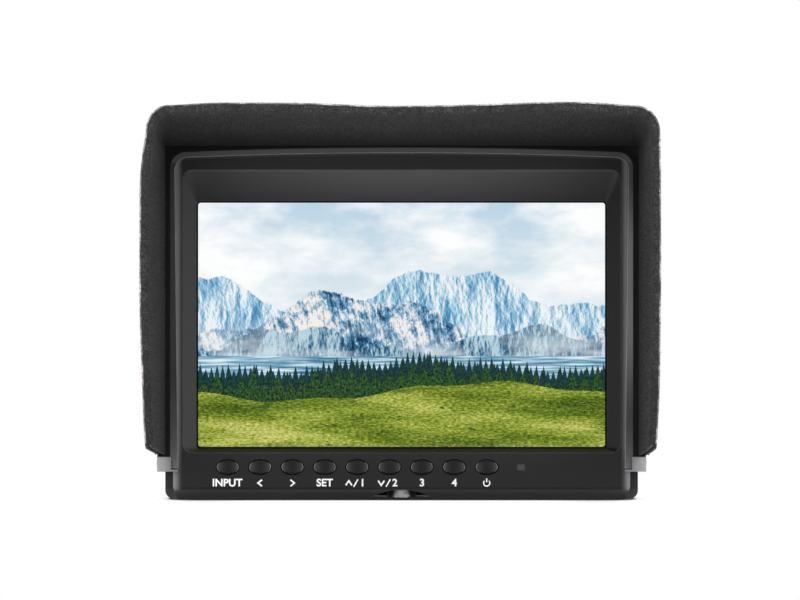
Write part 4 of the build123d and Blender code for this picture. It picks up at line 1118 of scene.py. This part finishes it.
def panel_sheet(panel, name, near, far, front, inset=0.0):
    """Flat layer of a panel or corner, near to far out from the felt's face."""
    rows, columns = panel.sheet_grid
    depths = steps(rows, max(inset, panel.root), panel.depth - front, panel.crowding)

    def chart(i, j):
        return depths[i], panel.column(depths[i], inset, j, columns)

    def face(out):
        return lambda i, j: panel.point(*chart(i, j), out)

    return sheet_solid(name, rows, columns, face(near), face(far), chart)


def panel_lining(panel, name):
    """Felt of a panel or corner, turned over its front edge."""
    rows, columns = panel.lining_grid
    path = lining_path(panel.depth, rows)
    along = path_lengths(path)
    rows = len(path)

    def face(thickness):
        def point(i, j):
            depth, out, turn = path[i]
            depth -= thickness * math.sin(turn)
            out += thickness * math.cos(turn)
            return panel.point(depth, panel.column(depth, 0, j, columns), out)
        return point

    return sheet_solid(
        name, rows, columns, face(0), face(FELT),
        lambda i, j: (along[i], panel.column(path[i][0], 0, j, columns)),
        tinted=rows - 1 - CUT_EDGE_STEPS,
    )


def fuzz_tree(material):
    """Geometry Nodes tree that grows short bent fibres on a mesh."""
    tree = bpy.data.node_groups.new("fibre_nap", "GeometryNodeTree")
    face = tree.interface
    face.new_socket("Geometry", in_out="INPUT", socket_type="NodeSocketGeometry")
    for label in ("Density", "Length", "Thickness"):
        face.new_socket(label, in_out="INPUT", socket_type="NodeSocketFloat")
    face.new_socket("Seed", in_out="INPUT", socket_type="NodeSocketInt")
    face.new_socket("Geometry", in_out="OUTPUT", socket_type="NodeSocketGeometry")
    given = add(tree, "NodeGroupInput").outputs
    spread = add(
        tree, "GeometryNodeDistributePointsOnFaces",
        {"Mesh": given["Geometry"], "Density": given["Density"], "Seed": given["Seed"]}
    )
    fibre = add(tree, "GeometryNodeMeshCone", {
        "Vertices": 3, "Radius Top": 0.0, "Radius Bottom": given["Thickness"],
        "Depth": given["Length"],
    })
    tilt = add(
        tree, "FunctionNodeRandomValue",
        {0: (-1.0, -1.0, -3.14), 1: (1.0, 1.0, 3.14), "Seed": given["Seed"]},
        data_type="FLOAT_VECTOR"
    )
    turned = add(
        tree, "FunctionNodeRotateRotation",
        {"Rotation": spread.outputs["Rotation"], "Rotate By": tilt}, rotation_space="LOCAL"
    )
    size = add(
        tree, "FunctionNodeRandomValue", {2: 0.5, 3: 1.3, "Seed": given["Seed"]},
        data_type="FLOAT"
    )
    grown = add(tree, "GeometryNodeInstanceOnPoints", {
        "Points": spread, "Instance": fibre, "Rotation": turned, "Scale": size,
    })
    real = add(tree, "GeometryNodeRealizeInstances", {"Geometry": grown})
    painted = add(tree, "GeometryNodeSetMaterial", {"Geometry": real, "Material": material})
    add(tree, "NodeGroupOutput", {"Geometry": painted})
    return tree


def grow_fuzz(name, carrier, tree, keep, nap, seed):
    """Nap of fibres on the faces of a carrier that keep accepts, as a piece of its own."""
    shape = bmesh.new()
    shape.from_mesh(carrier.data)
    dropped = [face for face in shape.faces if not keep(face)]
    bmesh.ops.delete(shape, geom=dropped, context="FACES")
    mesh = bpy.data.meshes.new(name)
    shape.to_mesh(mesh)
    shape.free()
    mesh.materials.clear()
    piece = link_object(name, mesh)
    modifier = piece.modifiers.new("nap", "NODES")
    modifier.node_group = tree
    values = dict(zip(("Density", "Length", "Thickness"), nap), Seed=seed)
    for item in tree.interface.items_tree:
        if item.in_out == "INPUT" and item.name in values:
            modifier[item.identifier] = values[item.name]
    return bake_modifiers(piece)


def edge_fibres(name, lining, tree, body, seed):
    """Loose fibres along the felt's cut edge, whose faces have the lining's second material."""
    rim = grow_fuzz(name, lining, tree, lambda face: face.material_index == 1, EDGE_NAP, seed)
    return finish_piece(rim, body, "hood_felt")


def area_of(piece):
    """Area of one face of a thin closed sheet."""
    return sum(face.area for face in piece.data.polygons) / 2


def dress_panel(panel, felt, edge, cloth, board, naps):
    """Felt lining, stiffener, cloth cover and nap of one panel."""
    name = panel.name
    body = "hood_" + name
    lining = soften(panel_lining(panel, name + "_felt_lining"))
    finish_piece(lining, body, "hood_felt", felt, edge)
    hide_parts(name + "_felt")
    stiffener = panel_sheet(
        panel, name + "_stiff_sheet", FELT, FELT + BOARD, BOARD_INSET + FELT, BOARD_INSET
    )
    finish_piece(stiffener, body, "stiffener", board)
    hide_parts(name + "_board")
    cover = soften(panel_sheet(panel, name + "_cloth_cover", FELT + BOARD, PANEL, FELT))
    finish_piece(cover, body, "hood_cloth", cloth)
    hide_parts(name + "_cover")
    for piece, depth in ((lining, panel.depth + PANEL), (cover, panel.depth)):
        flat, area = panel.cut(depth)
    nap = grow_fuzz(name + "_felt_nap", lining, naps[0], panel.brushed, FELT_NAP, panel.seed)
    finish_piece(nap, body, "hood_felt")
    edge_fibres(name + "_edge_nap", lining, naps[1], body, panel.seed + 20)


def dress_corner(panel, felt, edge, cloth, edge_nap):
    """Felt and cloth of the soft corner beside one side panel."""
    name = panel.name
    corner = SoftCorner(panel)
    lining = soften(panel_lining(corner, name + "_corner_felt"))
    finish_piece(lining, "hood_top", "hood_felt", felt, edge)
    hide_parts("corner_gusset_" + name)
    cover = soften(panel_sheet(corner, name + "_corner_cloth", FELT, PANEL, FELT))
    finish_piece(cover, "hood_top", "hood_cloth", cloth)
    rim = edge_fibres(name + "_corner_nap", lining, edge_nap, "hood_top", seed=51 + panel.side)
    for piece in (lining, cover, rim):
        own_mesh(piece)
    for piece in (lining, cover):
        area_of(piece)


def fold_band(name, node, points, along, cloth):
    """Band of cloth from the frame over a fold to a panel; points is its section, in order."""
    rows = len(points)
    columns = 40
    low, high = along

    def frame_point(i, j, lift):
        before = points[max(i - 1, 0)]
        after = points[min(i + 1, rows - 1)]
        turn = (after - before).normalized()
        side = Vector((0, 0, 1)) if name != "top" else Vector((1, 0, 0))
        normal = turn.cross(side)
        if normal.dot(points[0] - Vector((0, 0, 0.07))) < 0:
            normal = -normal
        place = points[i] + normal * lift
        share = low + (high - low) * j / (columns - 1)
        if name == "top":
            return Vector((share, place.y, place.z))
        return Vector((place.x, place.y, share))

    lengths = [0.0]
    for a, b in zip(points, points[1:]):
        lengths.append(lengths[-1] + (b - a).length)
    band = sheet_solid(
        name + "_fold_band", rows, columns,
        lambda i, j: frame_point(i, j, 0), lambda i, j: frame_point(i, j, COVER / 2),
        lambda i, j: (lengths[i], low + (high - low) * j / (columns - 1)),
    )
    band.data.materials.append(cloth)
    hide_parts(node)
    middle = points[rows // 2]
    reach = (points[-1] - points[0]).normalized() * 2.5 * MM
    start, end = middle - reach, middle + reach
    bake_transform(band)
    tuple(start)
    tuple(end)


def dress_folds(cloth):
    """The three cloth bands that carry the panels on the frame."""
    over = steps(8, FOLD_START, FOLD_REACH)
    for panel in (LEFT, RIGHT):
        band_low, band_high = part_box(panel.name + "_fold_fabric")
        x = band_low.x if panel.side > 0 else band_high.x
        points = [Vector((x, y, 0)) for y in steps(6, band_high.y, panel.hinge.y)]
        middle = (band_low.z + band_high.z) / 2
        points += [
            panel.point(depth, middle, PANEL + FOLD_LIFT) - Vector((0, 0, middle))
            for depth in over
        ]
        fold_band(
            panel.name, panel.name + "_fold_fabric", points,
            (band_low.z, band_high.z), cloth,
        )
    band_low, band_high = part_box("top_fold_fabric")
    points = [Vector((0, y, band_low.z)) for y in steps(8, band_high.y, TOP.hinge.y)]
    points += [TOP.point(depth, 0, PANEL + FOLD_LIFT) for depth in over]
    fold_band("top", "top_fold_fabric", points, (band_low.x, band_high.x), cloth)


# ======================================================================================
# print, screws and small metal
# ======================================================================================

def printed_text(name, text, x, ink):
    """One printed legend on the bezel's face, centred at x."""
    curve = bpy.data.curves.new(name, "FONT")
    curve.body = text
    curve.size = LEGEND_HEIGHT / 0.72      # the font's capitals are 0.72 of its size
    curve.align_x = "CENTER"
    curve.align_y = "CENTER"
    curve.offset = LEGEND_HEIGHT * 0.034
    curve.extrude = PRINT_LIFT
    curve.space_character = 1.02
    holder = link_object(name + "_curve", curve)
    graph = bpy.context.evaluated_depsgraph_get()
    mesh = bpy.data.meshes.new_from_object(holder.evaluated_get(graph))
    bpy.data.objects.remove(holder)
    middle_x = (min(v.co.x for v in mesh.vertices) + max(v.co.x for v in mesh.vertices)) / 2
    mesh.transform(Matrix.Translation((-middle_x, 0, 0)))
    mesh.transform(Matrix.Rotation(math.radians(90), 4, "X"))
    mesh.transform(Matrix.Translation((x, FACE_Y - PRINT_LIFT, LEGEND_Z)))
    return finish_piece(link_object(name, mesh), "monitor", "housing_plastic", ink)


def stroke_shape(shape, points, width, place):
    """Adds a printed line of constant width through points, flat on the face."""
    half = width / 2
    rows = []
    for i, point in enumerate(points):
        before = points[max(i - 1, 0)]
        after = points[min(i + 1, len(points) - 1)]
        turn = (Vector(after) - Vector(before)).normalized()
        run = (Vector(after) - Vector(point)) if after != point else Vector(point) - Vector(before)
        normal = Vector((-turn.y, turn.x))
        mitre = half / max(abs(turn.dot(run.normalized())), 0.4)
        rows.append([Vector(point) + normal * mitre, Vector(point) - normal * mitre])
    front, back = (
        [
            [shape.verts.new((place.x + p.x, place.y - lift, place.z + p.y)) for p in row]
            for row in rows
        ]
        for lift in (PRINT_LIFT, 0)
    )
    for a, b, c, d in zip(front, front[1:], back, back[1:]):
        shape.faces.new((a[0], a[1], b[1], b[0]))
        shape.faces.new((c[0], d[0], d[1], c[1]))
        shape.faces.new((a[0], b[0], d[0], c[0]))
        shape.faces.new((a[1], c[1], d[1], b[1]))
    for a, c in ((front[0], back[0]), (front[-1], back[-1])):
        shape.faces.new((a[0], c[0], c[1], a[1]))


def print_legends(ink):
    """White generic legends below the keys."""
    middle = {name: sum(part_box("key_" + name), Vector()) / 2 for name in KEYS}
    words = {"input": "INPUT", "set": "SET", "f3": "3", "f4": "4"}
    for name, word in words.items():
        printed_text("legend_" + name, word, middle[name].x, ink)
    for name, digit in (("up", "1"), ("down", "2")):
        printed_text("legend_" + name, digit, middle[name].x + DIGIT_SHIFT, ink)
    shape = bmesh.new()
    for name, turn in (("left", 1), ("right", -1)):
        place = Vector((middle[name].x, FACE_Y, LEGEND_Z))
        side, arm = turn * ARROW_WIDTH / 2, ARROW_HEIGHT / 2
        stroke_shape(shape, [(side, arm), (-side, 0), (side, -arm)], STROKE, place)
    for name, turn in (("up", 1), ("down", -1)):
        place = Vector((middle[name].x + CARET_SHIFT, FACE_Y, LEGEND_Z))
        arm, rise = CARET_WIDTH / 2, turn * CARET_HEIGHT / 2
        stroke_shape(shape, [(-arm, -rise), (0, rise), (arm, -rise)], STROKE, place)
        place = Vector((middle[name].x + SLASH_SHIFT, FACE_Y, LEGEND_Z))
        run, rise = SLASH_RUN / 2, LEGEND_HEIGHT / 2
        stroke_shape(shape, [(-run, -rise), (run, rise)], 0.9 * STROKE, place)
    place = Vector((middle["power"].x, FACE_Y, LEGEND_Z))
    gap = math.radians(46)
    turns = [gap + (2 * math.pi - 2 * gap) * i / 36 for i in range(37)]
    ring = [(POWER_RADIUS * math.sin(turn), POWER_RADIUS * math.cos(turn)) for turn in turns]
    stroke_shape(shape, ring, 0.75 * STROKE, place)
    stroke_shape(shape, [(0, 0.3 * MM), (0, 1.75 * MM)], 0.75 * STROKE, place)
    marks = piece_from_bmesh("legend_marks", shape, smooth=False)
    finish_piece(marks, "monitor", "housing_plastic", ink)


def tube(shape, rings):
    """Faces between rings of as many points each, with both ends closed."""
    around = len(rings[0])
    for a, b in zip(rings, rings[1:]):
        for k in range(around):
            n = (k + 1) % around
            shape.faces.new((a[k], a[n], b[n], b[k]))
    shape.faces.new(rings[0])
    shape.faces.new(rings[-1])


def lathe(profile, around=32):
    """Bmesh of a profile of (radius, along) points turned about +Z; ends at radius 0 are closed."""
    shape = bmesh.new()
    rings = []
    for radius, along in profile:
        if radius < 1e-9:
            rings.append([shape.verts.new((0, 0, along))])
        else:
            rings.append([
                shape.verts.new((
                    radius * math.cos(2 * math.pi * k / around),
                    radius * math.sin(2 * math.pi * k / around), along,
                ))
                for k in range(around)
            ])
    for a, b in zip(rings, rings[1:]):
        for k in range(around):
            n = (k + 1) % around
            if len(a) == 1 and len(b) > 1:
                shape.faces.new((a[0], b[k], b[n]))
            elif len(b) == 1 and len(a) > 1:
                shape.faces.new((a[k], b[0], a[n]))
            elif len(a) > 1 and len(b) > 1:
                shape.faces.new((a[k], b[k], b[n], a[n]))
    return shape


def screw_mesh(radius, height, shank, length):
    """One cross-recess pan screw along +Z, its seat at 0 and its head above."""
    head = lathe([
        (0, -length), (shank * 0.6, -length), (shank, -length + shank * 0.5), (shank, 0),
        (radius * 0.97, 0), (radius, height * 0.12), (radius, height * 0.55),
        (radius * 0.9, height * 0.86), (radius * 0.7, height), (0, height),
    ])
    head_piece = piece_from_bmesh("screw_head", head)
    cross = bmesh.new()
    arm = radius * 0.62
    for wide, tall in ((arm, radius * 0.13), (radius * 0.13, arm)):
        made = bmesh.ops.create_cube(cross, size=1.0)["verts"]
        for vertex in made:
            taper = 1.0 if vertex.co.z > 0 else 0.45
            vertex.co = Vector((
                vertex.co.x * 2 * wide * taper, vertex.co.y * 2 * tall * taper,
                height * (1.2 if vertex.co.z > 0 else 0.3),
            ))
    cutter = piece_from_bmesh("screw_cross", cross, smooth=False)
    cut = head_piece.modifiers.new("recess", "BOOLEAN")
    cut.operation = "DIFFERENCE"
    cut.object = cutter
    cut.solver = "EXACT"
    cut.use_self = True
    bake_modifiers(head_piece)
    bpy.data.objects.remove(cutter)
    mesh = head_piece.data
    bpy.data.objects.remove(head_piece)
    return mesh


def place_copies(name, mesh, places, node, material, slot):
    """One piece of copies of a mesh; each place is (seat, direction of the head)."""
    shape = bmesh.new()
    for k, (seat, away) in enumerate(places):
        copy = mesh.copy()
        turn = away.to_track_quat("Z", "X").to_matrix().to_4x4()
        spin = Matrix.Rotation(math.radians(37 * k + 11), 4, "Z")
        copy.transform(Matrix.Translation(seat) @ turn @ spin)
        shape.from_mesh(copy)
        bpy.data.meshes.remove(copy)
    made = bpy.data.meshes.new(name)
    shape.to_mesh(made)
    shape.free()
    piece = link_object(name, made)
    smooth_by_angle(piece)
    finish_piece(piece, NODES[node]["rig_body"], slot, material)
    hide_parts(node)
    return piece


def smooth_by_angle(piece, degrees=35):
    """Smooth shading except over sharp edges."""
    for face in piece.data.polygons:
        face.use_smooth = True
    piece.data.set_sharp_from_angle(angle=math.radians(degrees))


def dress_screws(steel):
    """Cross-recess screws in the place of the plain ones."""
    sizes = {
        "housing_screws": (2.65 * MM, 1.7 * MM, 1.4 * MM),
        "plate_screws": (1.85 * MM, 1.0 * MM, 0.9 * MM),
    }
    for node, (radius, height, shank) in sizes.items():
        boxes = solid_boxes(node)
        length = boxes[0][1].y - boxes[0][0].y - height
        mesh = screw_mesh(radius, height, shank, length)
        places = []
        for low, high in boxes:
            middle = (low + high) / 2
            places.append((Vector((middle.x, high.y - height, middle.z)), Vector((0, 1, 0))))
        place_copies(node + "_crossed", mesh, places, node, steel, "screw_steel")
        bpy.data.meshes.remove(mesh)


def dress_rivets(steel):
    """Domed rivets through the clips."""
    boxes = solid_boxes("clip_rivets")
    low, high = boxes[0]
    head_radius = (high.z - low.z) / 2
    length = high.x - low.x
    dome = 0.5 * MM
    shank = 1.0 * MM
    piece = piece_from_bmesh("rivet_shape", lathe([
        (0, -length + dome), (shank, -length + dome), (shank, 0), (head_radius, 0),
        (head_radius, dome * 0.3), (head_radius * 0.9, dome * 0.62),
        (head_radius * 0.6, dome * 0.9), (0, dome),
    ]))
    mesh = piece.data
    bpy.data.objects.remove(piece)
    places = []
    for low, high in boxes:
        middle = (low + high) / 2
        side = 1 if middle.x > 0 else -1
        seat_x = (high.x if side > 0 else low.x) - side * dome
        places.append((Vector((seat_x, middle.y, middle.z)), Vector((side, 0, 0))))
    place_copies("domed_rivets", mesh, places, "clip_rivets", steel, "clip_metal")
    bpy.data.meshes.remove(mesh)


def dress_insert(plated):
    """Tripod insert with its quarter inch thread, twenty turns to the inch, cut as a helix."""
    low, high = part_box("tripod_insert")
    flange = (high.x - low.x) / 2
    length = high.z - low.z
    crest = INSERT_BORE - 0.62 * MM
    pitch = 25.4 / 20 * MM
    around = 48
    rows_per_turn = 4
    rows = int(THREAD_DEPTH / pitch) * rows_per_turn + 1
    chamfer = 0.3 * MM

    def ring(height, radius_at):
        angles = [2 * math.pi * k / around for k in range(around)]
        return [
            shape.verts.new((radius_at(k) * math.cos(a), radius_at(k) * math.sin(a), height))
            for k, a in enumerate(angles)
        ]

    def thread_radius(height):
        def radius(k):
            tooth = abs(2 * ((height / pitch - k / around) % 1.0) - 1)
            return crest + (INSERT_BORE - crest) * smooth_step(0.15, 0.85, tooth)
        return radius

    shape = bmesh.new()
    rings = []
    for i in range(rows - 1, -1, -1):
        height = 0.4 * MM + i * pitch / rows_per_turn
        rings.append(ring(height, thread_radius(height)))
    profile = [
        (INSERT_BORE + chamfer, 0), (flange - chamfer, 0), (flange, chamfer),
        (flange, INSERT_FLANGE - chamfer), (flange - chamfer, INSERT_FLANGE),
        (INSERT_BODY, INSERT_FLANGE), (INSERT_BODY, length),
    ]
    rings += [ring(height, lambda k, r=radius: r) for radius, height in profile]
    floor_height = rings[0][0].co.z + 0.3 * MM
    rings.insert(0, ring(floor_height, lambda k: INSERT_BORE))
    tube(shape, rings)
    piece = piece_from_bmesh("threaded_insert", shape)
    smooth_by_angle(piece, 40)
    finish_piece(piece, "monitor", "brass", plated)
    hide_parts("tripod_insert")


def dress_skirt(plastic):
    """Low wall that closes the tripod recess at the back, under the taper of the rear cover."""
    back = SKIRT_HEIGHT + SKIRT_SLOPE
    section = [(0, 0), (0, SKIRT_HEIGHT), (SKIRT_DEPTH, back), (SKIRT_DEPTH, 0)]
    stations = [-1, -0.92, 0.92, 1]
    shape = bmesh.new()
    rings = []
    for station in stations:
        draw_in = 0.5 * MM if abs(station) == 1 else 0.0
        rings.append([
            shape.verts.new((station * SKIRT_HALF, SKIRT_Y + y, max(z - draw_in, 0)))
            for y, z in section
        ])
    tube(shape, rings)
    skirt = piece_from_bmesh("recess_skirt", shape, smooth=False)
    finish_piece(skirt, "monitor", "housing_plastic", plastic)


def dress_spring(steel):
    """Round-wire spring under the battery catch."""
    low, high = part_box("latch_spring")
    wire = 0.45 * MM
    radius = (high.x - low.x) / 2 - wire / 2
    turns = 4
    per_turn = 28
    sides = 10
    middle = (low + high) / 2
    length = high.y - low.y - wire
    shape = bmesh.new()
    rings = []
    for i in range(turns * per_turn + 1):
        angle = 2 * math.pi * i / per_turn
        along = low.y + wire / 2 + length * i / (turns * per_turn)
        out = Vector((math.cos(angle), 0, math.sin(angle)))
        centre = Vector((middle.x + radius * out.x, along, middle.z + radius * out.z))
        rings.append([
            shape.verts.new(
                centre + (out * math.cos(turn) + Vector((0, 1, 0)) * math.sin(turn)) * wire / 2
            )
            for turn in (2 * math.pi * k / sides for k in range(sides))
        ])
    tube(shape, rings)
    piece = piece_from_bmesh("coil_spring", shape)
    finish_piece(piece, "monitor", "spring_steel", steel)
    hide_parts("latch_spring")
    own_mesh(piece)


# ======================================================================================
# room
# ======================================================================================

def floor_material():
    """Plain white floor that keeps a dark contact shadow under the housing."""
    material = bpy.data.materials.new("white_floor")
    material.use_nodes = True
    tree = material.node_tree
    tree.nodes.clear()
    output = add(tree, "OutputMaterial")
    matt = add(tree, "BsdfDiffuse", {"Color": srgb("dedede")})
    open_sky = add(tree, "AmbientOcclusion", {"Distance": 45 * MM}, samples=12).outputs["AO"]
    level = add(tree, "MapRange", open_sky, 0.3, 0.48, 0.02, 1.0)
    glow = add(tree, "Emission", {"Color": srgb("ffffff"), "Strength": level})
    ray = add(tree, "LightPath").outputs
    seen = add(tree, "Math.MAXIMUM", ray["Is Camera Ray"], ray["Is Glossy Ray"])
    table = add(tree, "Emission", {"Color": srgb("ffffff"), "Strength": TABLE_LIGHT})
    lit = add(tree, "AddShader", matt, table)
    mix = add(tree, "MixShader", {0: seen, 1: lit, 2: glow})
    feed(output, {"Surface": mix})
    return material


def make_room():
    """Pale floor, white world, camera and soft studio lights."""
    mesh = bpy.data.meshes.new("studio_floor")
    reach = 6.0
    z = CAD_BOX[0].z - FLOOR_DROP
    corners = [(-reach, -reach, z), (reach, -reach, z), (reach, reach, z), (-reach, reach, z)]
    mesh.from_pydata(corners, [], [(0, 1, 2, 3)])
    floor = link_object("studio_floor", mesh)
    floor.data.materials.append(floor_material())

    world = bpy.data.worlds.new("studio_white")
    bpy.context.scene.world = world
    world.use_nodes = True
    tree = world.node_tree
    tree.nodes.clear()
    output = add(tree, "OutputWorld")
    ray = add(tree, "LightPath").outputs
    level = add(tree, "MapRange", ray["Is Camera Ray"], 0, 1, 0.3, 1.0)
    sky = add(tree, "Background", {"Color": srgb("ffffff"), "Strength": level})
    feed(output, {"Surface": sky})

    data = bpy.data.cameras.new("product_camera")
    data.lens = CAMERA_LENS
    data.sensor_width = 36
    data.clip_start = 0.05
    camera = link_object("product_camera", data)
    camera.location = CAMERA_PLACE
    camera.rotation_euler = (math.radians(90), 0, 0)
    bpy.context.scene.camera = camera

    target = Vector((0, -0.03, 0.075))
    lights = (
        ("front_softbox", (0.0, -1.5, 0.42), 1.2, 0.6, 10.0),
        ("left_softbox", (-1.0, -0.95, 0.4), 0.35, 0.9, 9.0),
        ("right_softbox", (1.0, -0.95, 0.4), 0.35, 0.9, 9.0),
        ("top_softbox", (0.0, 0.1, 1.2), 1.1, 0.7, 10.0),
        ("back_softbox", (0.0, 1.2, 0.7), 1.2, 0.6, 9.0),
    )
    for name, place, width, height, power in lights:
        lamp = bpy.data.lights.new(name, "AREA")
        lamp.shape = "RECTANGLE"
        lamp.size = width
        lamp.size_y = height
        lamp.energy = power
        holder = link_object(name, lamp)
        holder.location = place
        holder.rotation_euler = (target - Vector(place)).to_track_quat("-Z", "Y").to_euler()
        holder.visible_camera = False


# ======================================================================================
# put together
# ======================================================================================

def dress_cad(material):
    """Materials of the CAD pieces that stay as they are."""
    glass_low, glass_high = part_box("display_panel")
    centre_z = (glass_low.z + glass_high.z) / 2
    low = Vector((-PICTURE_WIDTH / 2, 0, centre_z - PICTURE_HEIGHT / 2))
    high = Vector((PICTURE_WIDTH / 2, 0, centre_z + PICTURE_HEIGHT / 2))
    material["screen"] = lit_picture(low, high)
    finishes = {
        "housing": ["front_bezel", "rear_cover"],
        "frame": ["hood_frame"],
        "screen": ["display_panel"],
        "tray": ["lcd_backlight"],
        "foam": ["lcd_gasket"],
        "board": ["main_board", "key_board"],
        "dome": ["key_switches"],
        "window": ["led_window"],
        "gold": ["battery_contacts"],
        "nylon": ["battery_plate", "battery_catch"],
        "socket_shell": ["hdmi_socket"],
        "socket": ["av_socket", "earphone_socket", "dc_socket"],
        "paper": ["speaker"],
        "black_steel": ["board_screws"],
        "ribbon": ["display_ribbon", "key_ribbon"],
        "key": ["key_" + key for key in KEYS],
        "clip": ["hood_clip_left", "hood_clip_right"],
    }
    for finish, nodes in finishes.items():
        for node in nodes:
            slots = NODES[node].material_slots
            if not slots:
                NODES[node].data.materials.append(material[finish])
            for slot in slots:
                slot.material = material[finish]


def make_materials():
    """Every finish of the monitor and its hood, by the name of its use."""
    return {
        "housing": housing_plastic(),
        "frame": frame_plastic(),
        "tray": metal("pressed_tray_steel", "8b8d8f", "a6a8aa", 0.38, (1, 0.1, 1)),
        "foam": foam(),
        "board": circuit_board(),
        "dome": metal("snap_dome_steel", "8d8d8f", "b2b2b4", 0.28),
        "window": smoked_acrylic(),
        "gold": metal("gold_plated_contact", "b8893a", "d9ad5c", 0.24, (1, 1, 0.2)),
        "plated": metal("nickel_plated_brass", "8a8a89", "a3a3a1", 0.36, (0.3, 0.3, 2)),
        "nylon": moulded_plastic(
            "glass_filled_nylon", "161617", "1d1d1e", 0.52, 0.6 * MM, 0.03 * MM
        ),
        "socket_shell": metal("nickel_shell", "8f8f90", "b5b5b6", 0.25, (0.2, 1, 1)),
        "socket": moulded_plastic("socket_nylon", "101011", "151516", 0.38, 0.3 * MM),
        "paper": speaker_paper(),
        "black_steel": metal("black_oxide_steel", "1b1b1d", "2c2c2f", 0.4),
        "spring": metal("spring_steel_wire", "77777a", "a3a3a6", 0.28, (1, 0.3, 1)),
        "rivet": metal("aluminium_rivet", "86868a", "a9a9ac", 0.34),
        "ribbon": flat_cable(),
        "key": key_plastic(),
        "clip": anodised_clip(),
        "felt": felt_cloth(),
        "edge": cut_edge(),
        "cloth": woven_nylon(),
        "stiffener": stiff_board(),
        "ink": print_ink(),
        "felt_fibre": loose_fibre("felt_fibre", "1b1b1c", "4e4e50"),
        "edge_fibre": loose_fibre("edge_fibre", "292828", "787371"),
    }


def main():
    make_room()
    material = make_materials()
    dress_cad(material)
    naps = (fuzz_tree(material["felt_fibre"]), fuzz_tree(material["edge_fibre"]))
    soft = (material["felt"], material["edge"], material["cloth"])
    for panel in (LEFT, RIGHT, TOP):
        dress_panel(panel, *soft, material["stiffener"], naps)
    for panel in (LEFT, RIGHT):
        dress_corner(panel, *soft, naps[1])
    dress_folds(material["cloth"])
    print_legends(material["ink"])
    dress_screws(material["black_steel"])
    dress_rivets(material["rivet"])
    dress_insert(material["plated"])
    dress_skirt(material["housing"])
    dress_spring(material["spring"])


main()
bpy.context.scene.view_settings.view_transform = "Standard"
